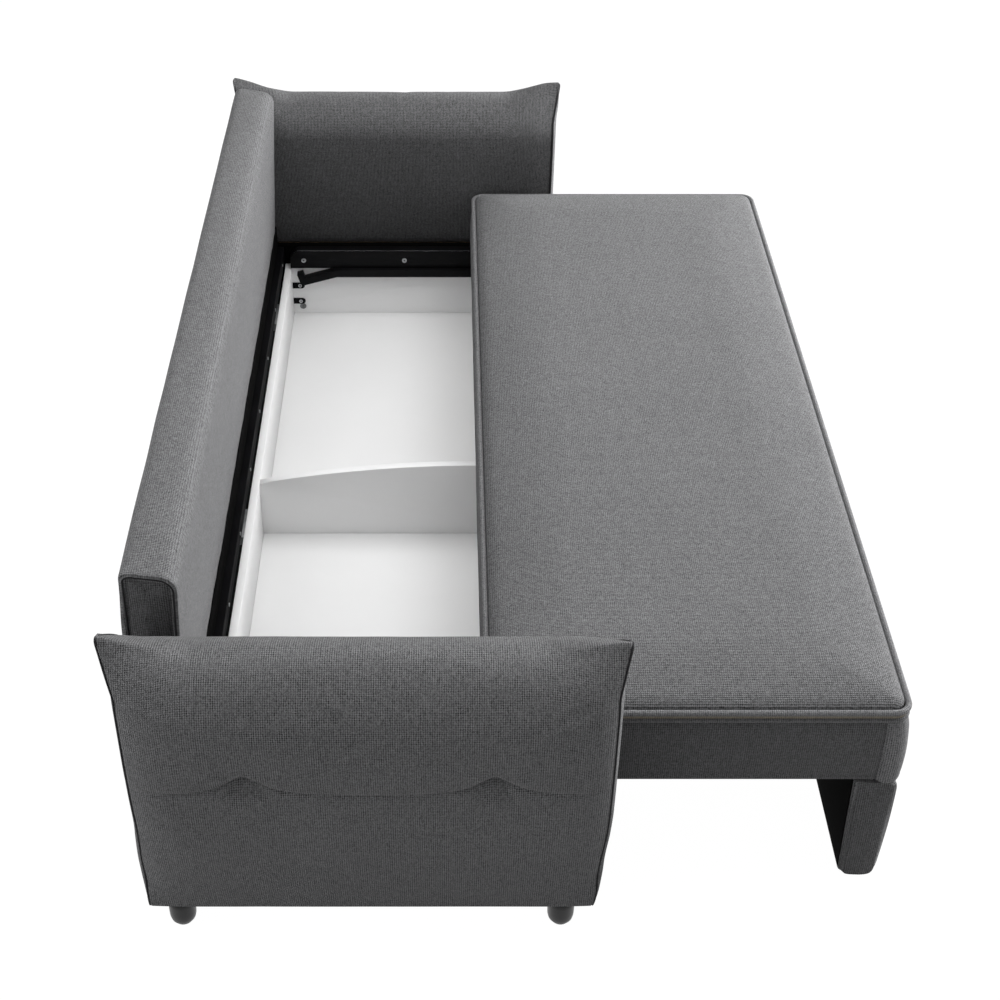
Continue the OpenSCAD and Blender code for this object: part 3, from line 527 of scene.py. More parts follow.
def circle(d, sides=10):
    turns = [2 * math.pi * k / sides for k in range(sides)]
    return [(d / 2 * math.cos(turn), d / 2 * math.sin(turn)) for turn in turns]


def closed_path(points, step):
    """The points of a closed path, with more between them so that none lie much more than a step apart."""
    fine = []
    for p, q in zip(points, points[1:] + points[:1]):
        parts = max(1, round((q - p).length / step))
        fine += [p.lerp(q, j / parts) for j in range(parts)]
    return fine


def rounded_path(low, high, r, step=0.03, corner_steps=8):
    """Points round a rounded rectangle in plan, clockwise from its corner at high x and y."""
    corners = ((high.x - r, high.y - r, 90), (high.x - r, low.y + r, 0),
               (low.x + r, low.y + r, -90), (low.x + r, high.y - r, -180))
    points = []
    for x, y, start in corners:
        for k in range(corner_steps + 1):
            turn = math.radians(start - 90 * k / corner_steps)
            points.append(Vector((x + r * math.cos(turn), y + r * math.sin(turn), low.z)))
    return closed_path(points, step)


def corner_places(mesh):
    """The places of a mesh's corners, one row each."""
    flat = np.empty(len(mesh.vertices) * 3)
    mesh.vertices.foreach_get("co", flat)
    return flat.reshape(-1, 3)


def puffed(obj, held, cap, pressure=3.0, frames=16, stiffness=20.0, least=0.01):
    """Cloth simulation of a stuffed piece: held(place) is how firmly a corner is held, and no
    corner moves more than cap."""
    start = corner_places(obj.data)
    group = obj.vertex_groups.new(name="held")
    for k, place in enumerate(start):
        firm = float(held(place))
        if firm > least:
            group.add([k], firm, "REPLACE")
    cloth = obj.modifiers.new("stuffing", "CLOTH")
    s = cloth.settings
    s.use_pressure = True
    s.uniform_pressure_force = pressure
    s.tension_stiffness = s.compression_stiffness = stiffness
    s.shear_stiffness = stiffness / 2
    s.bending_stiffness = 0.4
    s.quality = 5
    s.mass = 0.4
    s.vertex_group_mass = "held"
    s.effector_weights.gravity = 0.0
    cloth.collision_settings.use_collision = False
    for k in range(1, frames + 1):
        bpy.context.scene.frame_set(k)
    end = corner_places(obj.evaluated_get(bpy.context.evaluated_depsgraph_get()).data)
    obj.modifiers.remove(cloth)
    obj.vertex_groups.remove(group)
    bpy.context.scene.frame_set(1)
    move = end - start
    far = np.linalg.norm(move, axis=1, keepdims=True)
    move *= np.minimum(1.0, cap / np.maximum(far, 1e-9))
    obj.data.vertices.foreach_set("co", (start + move).ravel())
    obj.data.update()


def subdivided(obj):
    made = obj.modifiers.new("fine", "SUBSURF")
    made.levels = made.render_levels = 1
    made.boundary_smooth = "PRESERVE_CORNERS"


def thickened(obj, name, thickness, offset):
    made = obj.modifiers.new(name, "SOLIDIFY")
    made.thickness, made.offset = thickness, offset


def refined(node_name, name, finish, edge, segments=2, slot=None):
    """A detailed copy of a rigid CAD node: one clean mesh with its edges rounded."""
    bm = bmesh.new()
    bm.from_mesh(frame["nodes"][node_name].data)
    bmesh.ops.remove_doubles(bm, verts=bm.verts, dist=MERGED)
    bmesh.ops.dissolve_limit(bm, angle_limit=FLAT, verts=bm.verts, edges=bm.edges)
    corners = [e for e in bm.edges if e.is_manifold and e.calc_face_angle(0.0) > SHARP]
    bmesh.ops.bevel(bm, geom=corners, offset=edge, offset_type="OFFSET", affect="EDGES",
                    segments=segments, profile=0.5, material=-1, clamp_overlap=True)
    box_map(bm)
    bodies = frame["record"]["behaviour"]["bodies"]
    body = next(key for key, members in bodies.items() if node_name in members)
    return piece(name, bm, finish, body, (node_name,), slot)


def socketed(made, share=0.45, depth=0.3):
    """Sinks a socket into the flat top of each head, coloured black as painted shade: its width and depth are
    shares of the head's.
    """
    made.data.materials.append(finishes["black_steel"])
    bm = bmesh.new()
    bm.from_mesh(made.data)
    for face in [f for f in bm.faces if len(f.verts) > 10]:
        radius = math.sqrt(face.calc_area() / math.pi)
        bmesh.ops.inset_individual(bm, faces=[face], thickness=radius * (1 - share), depth=-depth * radius,
                                   use_even_offset=True)
        # The socket's black is painted shade
        face.material_index = 1
        for edge in face.edges:
            for near in edge.link_faces:
                near.smooth = False
    bm.to_mesh(made.data)
    bm.free()


def stations(span, fine, coarse):
    """Places from 0 to span, with the fine steps at both ends and coarse ones between."""
    edge = [0.0]
    for step in fine:
        edge.append(edge[-1] + step)
    inner = span - 2 * edge[-1]
    parts = max(1, round(inner / coarse))
    middle = [edge[-1] + inner * k / parts for k in range(1, parts)]
    return edge + middle + [span - v for v in reversed(edge)]


def corner_round(u, v, radii):
    """Moves a point of a rectangle so that its corners are rounded. u and v are each a place and the span.
    radii: low-low, high-low, low-high, high-high."""
    (u, w), (v, h) = u, v
    left, low = u < w / 2, v < h / 2
    r = radii[(0 if left else 1) + (0 if low else 2)]
    du = (r - u) / r if left else (u - (w - r)) / r
    dv = (r - v) / r if low else (v - (h - r)) / r
    if du <= 0 or dv <= 0:
        return u, v
    mu, mv = du * math.sqrt(1 - dv * dv / 2), dv * math.sqrt(1 - du * du / 2)
    return (r - mu * r if left else w - r + mu * r), (r - mv * r if low else h - r + mv * r)


class SlabForm:
    """A padded slab: a block whose corners are moved to stations, and from there to their places.
    corners holds the radii of its section: lower front, lower rear, upper front and upper rear."""

    patch = staticmethod(flat_patch)
    panel = None

    def stations_at(self, a, b, c):
        lines = ((self.xs, a), (self.ys, b), (self.zs, c))
        return [line[round(share * (len(line) - 1))] for line, share in lines]

    def build(self, name, body, node_name, sharp, fill, extra=(), puff=None):
        bm = unit_block(len(self.xs) - 1, len(self.ys) - 1, len(self.zs) - 1)
        place_block(bm, self.place, self.patch, self.panel)
        made = piece(name, bm, "upholstery", body, (node_name,), "upholstery", sharp, extra)
        if puff:
            puffed(made, self.held, *puff)
        subdivided(made)


# Arms

# Each arm has its own small waves
LEFT_SEED, RIGHT_SEED = 0.7, 4.2


class ArmForm:
    """The left arm's faces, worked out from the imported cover's box."""

    crease_row, cap_row, rows = 0.45, 0.85, 72
    end_inset, end_round, half_thick = 0.017, 0.095, 0.084
    pinch_rise, flare_drop, foot_shift = 0.039, 0.048, 0.0075
    lining_gap, inner_lean, lean_height = 0.012, 0.038, 0.34
    peak_run, crease_run, crease_above, crease_below = 0.050, 0.070, 0.010, 0.032
    stitch_depth, stitch_width = 0.0060, 0.0038
    tuft_width, tuft_above, tuft_below = 0.024, 0.013, 0.034
    pucker_depth, pucker_radius, pucker_width = 0.0013, 0.035, 0.03
    dome, dome_edge = 0.015, 0.002

    def __init__(self, seed):
        self.s, self.seed = sizes(), seed
        self.inner, self.outer = ARM_LOW.x, ARM_HIGH.x
        self.mid = (self.inner + self.outer) / 2
        self.front, self.rear = ARM_LOW.y + self.end_inset, ARM_HIGH.y - self.end_inset
        self.foot = ARM_LOW.z
        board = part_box("left_rail_board")[1]
        self.board_out, self.fabric_end = board.x, board.z + 0.0005
        self.hem_row = next(k for k in range(self.rows)
                            if self.level(self.front, k / self.rows, 0.0) > self.fabric_end)

    def edge(self, y):
        """Distance from the nearer end of the arm."""
        return min(y - self.front, self.rear - y)

    def share(self, y):
        """How far the section is pinched into an ear."""
        return 1 - ease(0, self.s.ear_run, self.edge(y))

    def top(self, y):
        """The ears rise as the section pinches, so that the upper outline stays level up to their tips."""
        e = self.share(y)
        rise = self.s.ear_front if y < (self.front + self.rear) / 2 else self.s.ear_rear
        return self.s.arm_top + self.pinch_rise * e + (rise - self.pinch_rise) * e**6

    def tuft_distance(self, y):
        return abs(self.edge(y) - self.s.tuft_edge)

    def crease(self, y):
        return self.s.tuft_height - self.s.swag_drop * (1 - bell(self.tuft_distance(y), self.peak_run, 1.1))

    def tuck(self, y, z):
        """How far the outer face is drawn in: a fine sewn crease, and a tuft below each of its peaks."""
        s = self.s
        d, run, edge = z - self.crease(y), self.tuft_distance(y), self.edge(y)
        fade = 0.15 + 0.85 * ease(0.015, 0.085, edge)
        crease = s.crease_depth * (0.45 + 0.55 * bell(run, self.crease_run))
        crease *= bell(d, self.crease_above if d > 0 else self.crease_below)
        stitch = self.stitch_depth * bell(abs(d), self.stitch_width, 1)
        tuft = (s.tuft_depth - s.crease_depth) * bell(run, self.tuft_width)
        tuft *= bell(d, self.tuft_above if d > 0 else self.tuft_below)
        angle = math.atan2(d - 0.004, edge - s.tuft_edge)
        pucker = self.pucker_depth * math.cos(7 * angle + self.seed)
        pucker *= bell(math.hypot(d, run) - self.pucker_radius, self.pucker_width)
        return fade * (crease + stitch) + tuft + pucker

    def outer_face(self, y, z):
        run = min(1.0, (z - self.foot) / (self.s.tuft_height + 0.038 - self.foot))
        draw = self.s.end_draw * max(0.0, 1 - self.edge(y) / self.end_round) ** 2.6
        draw *= 0.08 + 0.92 * ease(0.0, 0.090, z - self.foot)
        return self.outer - self.s.foot_draw * (1 - math.sin(math.pi / 2 * run)) - draw - self.tuck(y, z)

    def level(self, y, c, cap):
        """Height of a row of the side: fine at the crease."""
        crease = self.crease(y)
        if c < self.crease_row:
            return crease - (crease - self.foot) * (1 - c / self.crease_row) ** 1.5
        return crease + (cap - crease) * ((c - self.crease_row) / (self.cap_row - self.crease_row)) ** 1.25

    def section(self, y, q, c):
        """Fullness, height and map run of a point: q is -1 at the inner face and 1 at the outer one."""
        e = self.share(y)
        r = self.s.arm_round if q >= 0 else self.s.inner_round
        r += (self.s.ear_run - r) * e
        cap = self.top(y) - r
        around = math.pi / 2 * math.hypot(self.half_thick, r) / math.sqrt(2)
        side = abs(q) > 0.999
        if side and c < self.cap_row:
            z = self.level(y if q > 0 else self.front, c, cap)
            return 1.0, z, z - self.foot
        turn = 0.5 + 0.5 * (1 - (c - self.cap_row) / (1 - self.cap_row)) if side else abs(q) * 0.5
        angle = turn * math.pi / 2
        depth = (1 - e) * (1 - math.cos(angle)) + e * turn
        return math.sin(angle), cap + r * (1 - depth), cap - self.foot + around * (1 - turn)

    def crest(self):
        """The map's run up to the arm's crest, in the middle of its length."""
        return self.section(0.3, 0.0, 1.0)[2]

    def along(self, b):
        return self.front + (self.rear - self.front) * (0.6 * b + 0.4 * (0.5 - 0.5 * math.cos(math.pi * b)))

    def side_x(self, y, z, full, q, row=99):
        if q >= 0:
            return self.mid + (self.outer_face(y, z) - self.mid) * full
        if row >= self.hem_row:
            rise = min(1.0, max(0.0, (z - self.fabric_end) / self.lean_height))
            face = self.inner + self.lining_gap
            face -= self.inner_lean * (1 - (1 - rise) ** 2.2)
        else:
            face = self.board_out + 0.003
        face += 0.007 * max(0.0, 1 - self.edge(y) / 0.080) ** 2
        return self.mid + (face - self.mid) * full

    def place(self, a, b, c):
        q = 2 * a - 1
        y = self.along(b)
        row = round(c * self.rows)
        end = b < ON_SIDE or b > 1 - ON_SIDE
        if c > 1 - ON_SIDE:
            full, z, _ = self.section(y, q, 1.0)
            x = self.side_x(y, z, full, q)
        elif c < ON_SIDE or end:
            full, z, _ = self.section(y, 1.0, c)
            left, right = self.side_x(y, z, full, -1, row), self.side_x(y, z, full, 1)
            x = left + (right - left) * a
            if end and c > 0.5:
                rise = self.section(y, q, 1.0)[1] - self.section(y, 1.0, 1.0)[1]
                z += rise * ease(0.5, 1.0, c)
        else:
            full, z, _ = self.section(y, q, c)
            if q < 0 and row == self.hem_row:
                z = self.fabric_end + 0.0008
            elif q < 0 and row == self.hem_row - 1:
                z = self.fabric_end + 0.0002
            x = self.side_x(y, z, full, q, row)
        y += self.end_shift(y, z, q, c, b > 0.5, end)
        y += self.foot_shift * (1 - float(ease(0.09, 0.26, z - self.foot)))
        wave = 0.0011 * soft_noise((x, y, z), 9.0, self.seed)
        wave += 0.0005 * soft_noise((x, y, z), 26.0, self.seed)
        if not end and c > ON_SIDE:
            if abs(q) < 0.999:
                z += wave
            elif q > 0:
                x += wave
            elif row > self.hem_row:
                x -= wave
        return Vector((x, y, z))

    def end_shift(self, y, z, q, c, rear, end):
        """How far a point moves along the arm: the ears flare, the foot draws in and the ends are domed."""
        s, low = self.s, self.s.arm_top - self.flare_drop
        ear, flare, tuck = (s.ear_rear, s.rear_flare, 0.001) if rear else (s.ear_front, s.front_flare, 0.006)
        tall = max(0.0, z - low) / (s.arm_top + ear - low)
        out = flare * tall**1.1 * self.share(y) ** 1.5
        out -= tuck * max(0.0, 1 - (z - self.foot) / 0.035) ** 2
        if end:
            full = max(0.0, 1 - q * q) ** 0.6 * min(1.0, (1.001 - c) / 0.12, 0.4 + c / 0.1)
            out += self.dome * full - self.dome_edge
        return out if rear else -out

    def patch(self, side, a, b, c, at):
        if side == "z-" or side[0] == "y":
            return flat_patch(side, a, b, c, at)
        q, y = 2 * a - 1, self.along(b)
        run = self.section(y, q, c if side[0] == "x" else 1.0)[2]
        if q < 0:
            run = self.section(y, 0.0, 1.0)[2] + self.section(y, -1e-9, 1.0)[2] - run
        return (at.y, run)

    def held(self, place):
        """How firmly the simulation holds a point: the seams, the crease and what lies on the frame."""
        x, y, z = place
        seam = 1 - ease(0.004, 0.05, self.edge(y))
        foot = 1 - ease(0.0, 0.05, z - self.foot)
        crease = bell(z - self.crease(y), 0.012) if x > self.mid else 0.0
        tuft = math.exp(-((self.tuft_distance(y) / 0.05) ** 2 + ((z - self.crease(y)) / 0.05) ** 2))
        inside = 1.0 if x < self.mid and z < self.fabric_end + 0.03 else 0.0
        inside = max(inside, 0.6 if x < self.mid - 0.05 else 0.0)
        return max(seam, foot, crease, tuft, inside)


def build_arms():
    for side, seed in (("left", LEFT_SEED), ("right", RIGHT_SEED)):
        form = ArmForm(seed)
        bm = unit_block(20, 96, form.rows)
        place_block(bm, form.place, form.patch)
        cover = piece(side + "_arm_fabric", bm, "arm", "base", (side + "_arm_cover",), "upholstery", sharp=70)
        puffed(cover, form.held, cap=0.006)
        if side == "right":
            bm = bmesh.new()
            bm.from_mesh(cover.data)
            mirror(bm)
            bm.to_mesh(cover.data)
            bm.free()
            cover.data.set_sharp_from_angle(angle=math.radians(38))
        subdivided(cover)


def build_arm_piping():
    form = ArmForm(LEFT_SEED)
    outer, inner = sizes().outer_piping, sizes().inner_piping
    for side in ("left", "right"):
        bm = bmesh.new()
        for b, out in ((0.0, -1), (1.0, 1)):
            path = []
            for q, d in ((1, outer), (-1, inner)):
                run = [form.place(0.5 + q / 2, b, c) for c in np.linspace(0, 1, 46)]
                run += [form.place(0.5 + q / 2 * v, b, 1.0) for v in np.linspace(0.93, 0.12, 9)]
                run = [p + Vector((q * -0.25 * d, out * 0.35 * d, 0)) for p in run]
                if q > 0:
                    half = running(run)[-1]
                path += run if q > 0 else run[::-1]

            def outline(run, half=half):
                return circle(outer + (inner - outer) * float(ease(half - 0.03, half + 0.03, run)))

            rows = sweep(bm, path, outline, up=(0, 1, 0))
            for row in (rows[0], rows[-1]):
                bm.faces.new(row).normal_update()
        if side == "right":
            mirror(bm)
        outwards(bm)
        subdivided(piece(side + "_arm_piping", bm, "piping", "base", (side + "_arm_welts",), sharp=60))


# Backrest


class BackForm(SlabForm):
    """The backrest's cover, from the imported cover's box."""

    thick, lean, fall, shift = 0.100, 0.022, 0.014, 0.008
    rear_swell, face_swell, top_swell, end_draw = 0.008, 0.005, 0.0065, 0.006
    left_dome, right_dome = 0.0125, 0.0045
    rim_width, piping_inset, piping_width, groove = 0.0072, 0.0075, 0.0038, 0.0035
    hem_height, hem_depth, front_reach = 0.016, 0.0022, 0.09

    def __init__(self):
        self.low, self.tall = BACK_LOW.z, BACK_HIGH.z - BACK_LOW.z
        self.front_top = BACK_HIGH.y + 0.007 - self.thick
        self.edge = sizes().back_edge
        self.corners = (0.012, 0.006, self.edge, self.edge - 0.012)
        self.xs = stations(2 * BACK_HIGH.x, [0.0012, 0.0018, 0.003, 0.005, 0.009, 0.014, 0.02], 0.028)
        self.ys = stations(self.thick, [0.003, 0.003, 0.003, 0.004, 0.006], 0.010)
        self.zs = stations(self.tall, [0.003, 0.003, 0.003, 0.003, 0.004, 0.006, 0.008], 0.014)

    def lean_back(self, u, v):
        """Moves a point of the section, measured from its lower front corner: the front leans back, the top
        falls forward, and the rear swells below its top edge."""
        front, rise = 1 - u / self.thick, v / self.tall
        slope = self.lean * (1 - rise) * front
        slope += self.rear_swell * float(ease(0.0, 0.36, 1 - rise)) * (1 - front)
        return self.front_top + u + slope, self.low + v - self.fall * front * ease(0.6, 1.0, rise)

    def rim(self, u, v):
        """Distance from the nearest edge of the section."""
        return min(u, self.thick - u, v, self.tall - v)

    def place(self, a, b, c):
        x, u, v = self.stations_at(a, b, c)
        x -= BACK_HIGH.x
        end, way = BACK_HIGH.x - abs(x), 1 if x > 0 else -1
        rim = self.rim(u, v)
        u, v = corner_round((u, self.thick), (v, self.tall), self.corners)
        y, z = self.lean_back(u, v)
        front, rise = 1 - u / self.thick, v / self.tall
        draw = self.end_draw * (1 - quarter(end, self.end_draw))
        y += draw * (1 if y < self.front_top + self.lean / 2 + self.thick / 2 else -1)
        z += draw * (1 if z < self.low + self.tall / 2 else -1)
        if b < ON_SIDE or b > 1 - ON_SIDE:
            full = math.sin(math.pi * rise) * float(ease(0.0, 0.10, end))
            swell = self.face_swell * full + 0.0008 * soft_noise((x, 0, z), 7.0, 2.0)
            y -= swell * (1 if b < 0.5 else -1.2)
        if b < ON_SIDE:
            y += self.hem_depth * bell(v - self.hem_height, 0.0022)
            y += 0.0018 * soft_noise((x * 1.6, 0, z * 0.35), 16.0, 5.0) * bell(v, 0.22)
        if c > 1 - ON_SIDE:
            swell = self.top_swell * math.sin(math.pi * front) * ease(0.0, 0.1, end)
            z += swell + 0.0009 * soft_noise((x, y, 0), 6.0, 1.0)
        if a < ON_SIDE or a > 1 - ON_SIDE:
            dome = (self.left_dome if x > 0 else self.right_dome) * ease(0.008, 0.040, rim)
            x += (dome - self.groove * bell(rim - self.piping_inset, 0.0028)) * way
        return Vector((x + self.shift, y, z))

    def patch(self, side, a, b, c, at):
        if side == "y-":
            return (at.x, at.z + self.front_reach)
        if side == "z+":
            return (at.x, BACK_HIGH.z + self.front_reach + at.y - self.front_top)
        return flat_patch(side, a, b, c, at)

    def panel(self, side, a, b, c):
        """1 for the end panels, inside their piping, which take the darker cloth of painted shade."""
        u, v = (np.interp(share * (len(line) - 1), range(len(line)), line)
                for line, share in ((self.ys, b), (self.zs, c)))
        return int(side[0] == "x" and self.rim(u, v) > self.rim_width)

    def rim_path(self, side):
        """The closed path of an end's piping, drawn in from the outline."""
        draw = self.piping_inset
        r = self.edge - draw * 0.6
        corners = ((draw, draw, 270, 0.010), (draw, self.tall - draw, 180, r),
                   (self.thick - draw, self.tall - draw, 90, r - 0.012), (self.thick - draw, draw, 0, 0.005))
        points = []
        for u0, v0, start, radius in corners:
            cu = u0 + radius * (1 if u0 < self.thick / 2 else -1)
            cv = v0 + radius * (1 if v0 < self.tall / 2 else -1)
            for k in range(7):
                turn = math.radians(start - 15 * k)
                y, z = self.lean_back(cu + radius * math.cos(turn), cv + radius * math.sin(turn))
                points.append(Vector((side * (BACK_HIGH.x - 0.0012) + self.shift, y, z)))
        return closed_path(points, 0.02)


def build_backrest():
    form = BackForm()
    # The backrest's end panels take the darker cloth, painted shade
    form.build("backrest_fabric", "base", "backrest_cover", 75, 0.8, extra=("flank",))
    bm = bmesh.new()
    for side in (-1, 1):
        sweep(bm, form.rim_path(side), circle(form.piping_width), closed=True, up=(1, 0, 0))
    outwards(bm)
    piece("backrest_piping", bm, "piping", "base", ("backrest_welts",), sharp=60)


class RearForm(SlabForm):
    """The cloth panel across the rear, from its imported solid's box."""

    corners = (0.0015, 0.004, 0.0015, 0.004)
    wave, hem_height, hem_depth = 0.0016, 0.018, 0.0016

    def __init__(self):
        self.low, self.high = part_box("rear_cover")
        self.span = self.high - self.low
        self.xs = stations(self.span.x, [0.002, 0.004, 0.008], 0.03)
        self.ys = stations(self.span.y, [0.0015], 0.004)
        self.zs = stations(self.span.z, [0.002, 0.004, 0.006, 0.006], 0.02)

    def place(self, a, b, c):
        x, u, v = self.stations_at(a, b, c)
        u, v = corner_round((u, self.span.y), (v, self.span.z), self.corners)
        x, y, z = self.low.x + x, self.low.y + u, self.low.z + v
        if b > 1 - ON_SIDE:
            tall = (z - self.low.z) / self.span.z
            y += self.wave * soft_noise((x * 1.8, 0, z * 0.5), 8.0, 3.0) * math.sin(math.pi * tall)
            y -= self.hem_depth * bell(z - self.low.z - self.hem_height, 0.002)
        return Vector((x, y, z))


def build_rear_cover():
    RearForm().build("rear_fabric", "base", "rear_cover", 60, 0.3)


# Seat


class SeatForm(SlabForm):
    """The seat cushion between its two welts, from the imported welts' boxes."""

    crown_run, roll, roll_run, side_draw = 0.125, 0.0085, 0.020, 0.003

    def __init__(self):
        self.s = sizes()
        inset = self.s.upper_piping + 0.0003
        self.welt = (SEAT_LOW.z + SEAT_HIGH.z) / 2
        self.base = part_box("lower_welt")[0].z
        self.mid_y = (SEAT_LOW.y + SEAT_HIGH.y) / 2
        self.span = (SEAT_HIGH.x - SEAT_LOW.x - 2 * inset, SEAT_HIGH.y - SEAT_LOW.y - 2 * inset)
        fine = [0.002, 0.003, 0.004, 0.005, 0.006, 0.008, 0.010]
        self.xs, self.ys = (stations(span, fine, 0.017) for span in self.span)
        tall = self.welt - self.base
        self.zs = [0.0, 0.008, 0.016, tall, tall + 0.0015]
        self.corner = self.s.seat_corner - inset * 0.5

    def edge_distance(self, x, y):
        """How far a point of the plan lies inside the rounded outline."""
        r = self.corner
        dx, dy = abs(x) - (self.span[0] / 2 - r), abs(y) - (self.span[1] / 2 - r)
        outside = math.hypot(max(dx, 0), max(dy, 0)) + min(max(dx, dy), 0.0)
        return max(0.0, r - outside)

    def place(self, a, b, c):
        u, v, rise = self.stations_at(a, b, c)
        u, v = corner_round((u, self.span[0]), (v, self.span[1]), [self.corner] * 4)
        x, py = u - self.span[0] / 2, v - self.span[1] / 2
        y, z = py + self.mid_y, self.base + rise
        row = round(c * (len(self.zs) - 1))
        if row == len(self.zs) - 1:
            d = self.edge_distance(x, py)
            crown = self.s.seat_crown * (1 - (1 - min(1.0, d / self.crown_run)) ** 2.5)
            z += self.roll * quarter(d, self.roll_run) + crown
            z += ease(0.0, 0.12, d) * (0.0014 * soft_noise((x, y, 0), 3.2, 3.0)
                                       + 0.0007 * soft_noise((x, y, 0), 8.0, 8.0))
            z += 0.0009 * bell(d - 0.03, 0.03) * soft_noise((x, y, 0), 19.0, 6.0)
        elif row in (1, 2) and abs(x) > self.span[0] / 2 - 0.04:
            x -= math.copysign(self.side_draw, x)
        return Vector((x, y, z))

    def patch(self, side, a, b, c, at):
        across, up = flat_patch(side, a, b, c, at)
        return (across, up if side[0] == "z" else up + 1.0)

    def held(self, place):
        x, y, z = place
        if z < self.welt + 0.001:
            return 1.0
        return 1 - float(ease(0.003, 0.05, self.edge_distance(x, y - self.mid_y)))


def build_seat_cushion():
    SeatForm().build("seat_fabric", "seat", "seat_cushion", 70, 0.85, puff=(0.005, 1.5))


def seat_ring(bm, inset, z, profile):
    """Sweeps a profile round the seat's outline."""
    low = Vector((SEAT_LOW.x + inset, SEAT_LOW.y + inset, z))
    high = Vector((SEAT_HIGH.x - inset, SEAT_HIGH.y - inset, z))
    sweep(bm, rounded_path(low, high, sizes().seat_corner - inset), profile, closed=True)
    outwards(bm)


def build_seat_welts():
    s = sizes()
    welt = (SEAT_LOW.z + SEAT_HIGH.z) / 2
    for side, d, inset, drop, finish in (
        ("upper", s.upper_piping, s.upper_piping / 2, 0.0, "upper_welt"),
        ("lower", s.lower_piping + 0.0025, s.upper_piping / 2 + 0.0010, 0.0178, "welt"),
    ):
        def outline(run, d=d):
            gather = 1 + 0.03 * noise.noise(Vector((run * 40, d * 900, 0)))
            return [(p[0] * gather, p[1] * gather) for p in circle(d, 14)]

        bm = bmesh.new()
        seat_ring(bm, inset, welt - drop, outline)
        subdivided(piece(side + "_welt_fabric", bm, finish, "seat", (side + "_welt",), "piping", sharp=80))
    bm = bmesh.new()
    tape = [(0.004, 0.0), (-0.001, 0.0), (-0.001, 0.0120), (0.004, 0.0120)]
    seat_ring(bm, 0.0062, welt - 0.0150, tape)
    piece("zip_tape", bm, "tape", "seat", (), "upholstery", sharp=30)


def build_apron():
    low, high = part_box("seat_apron")
    tall, thick, proud = high.z - low.z, 0.009, 0.0045
    tip, seam_inset, seam_depth, seam_width, corner_run = 0.0020, 0.046, 0.0050, 0.0022, 0.042
    low, high = low - Vector((proud, proud, 0)), high + Vector((proud, proud, 0))
    seam_y = (low.y + seam_inset, high.y - seam_inset)
    ring = rounded_path(low, high, sizes().seat_corner - 0.001, step=0.022)

    def on_flank(p):
        return abs(abs(p.x) - high.x) < 0.001

    path = []
    for p, q in zip(ring, ring[1:] + ring[:1]):
        path.append(p)
        if on_flank(p) and on_flank(q):
            places = [y + step for y in seam_y for step in (-0.004, -0.0012, 0, 0.0012, 0.004)]
            places = sorted((y for y in places if min(p.y, q.y) < y < max(p.y, q.y)), reverse=q.y < p.y)
            path += [Vector((p.x, y, p.z)) for y in places]
    lengths = running(path)
    seams = [run for run, p in zip(lengths, path)
             if on_flank(p) and min(abs(p.y - y) for y in seam_y) < 0.0002]
    heights = [0.0, 0.0015, 0.004, 0.008, 0.012, 0.014, 0.016, 0.024]
    heights += [0.024 + (tall - 0.024) * k / 9 for k in range(1, 10)] + [tall + tip]
    from_corner = [min(math.hypot(abs(p.x) - high.x, p.y - low.y), 0.2) for p in path]

    def outline(run):
        groove = seam_depth * bell(min(abs(run - seam) for seam in seams), seam_width)
        corner = bell(float(np.interp(run, lengths, from_corner)), corner_run, 4)
        points = []
        for h in heights:
            foot_corner = corner * (1 - h / tall)
            full = (0.0022 + 0.0030 * corner) * math.sin(math.pi * min(1.0, h / tall)) + 0.007 * foot_corner
            wave = 0.0010 * soft_noise((run, h * 0.6, 0), 11.0, 4.0) * math.sin(math.pi * h / tall)
            hem = 0.0009 * bell(h - 0.014, 0.0016)
            foot = 0.003 * (1 - quarter(h, 0.004))
            tuck = 0.0040 * float(ease(tall - 0.006, tall + 0.003, h))
            points.append((hem + foot + groove + tuck - full - wave, h - 0.008 * foot_corner))
        return points + [(thick, tall + tip), (thick, 0.0)]

    bm = bmesh.new()
    sweep(bm, path, outline, closed=True)
    outwards(bm)
    # The flanks take the darker cloth, painted shade; the front and corners take the brighter cloth, painted
    # light
    for face in bm.faces:
        middle = face.calc_center_median()
        face.material_index = int(abs(middle.x) > high.x - 0.02 and seam_y[0] < middle.y < seam_y[1])
    made = piece("apron_fabric", bm, "front", "seat", ("seat_apron",), "upholstery", 60, ("flank",))
    subdivided(made)


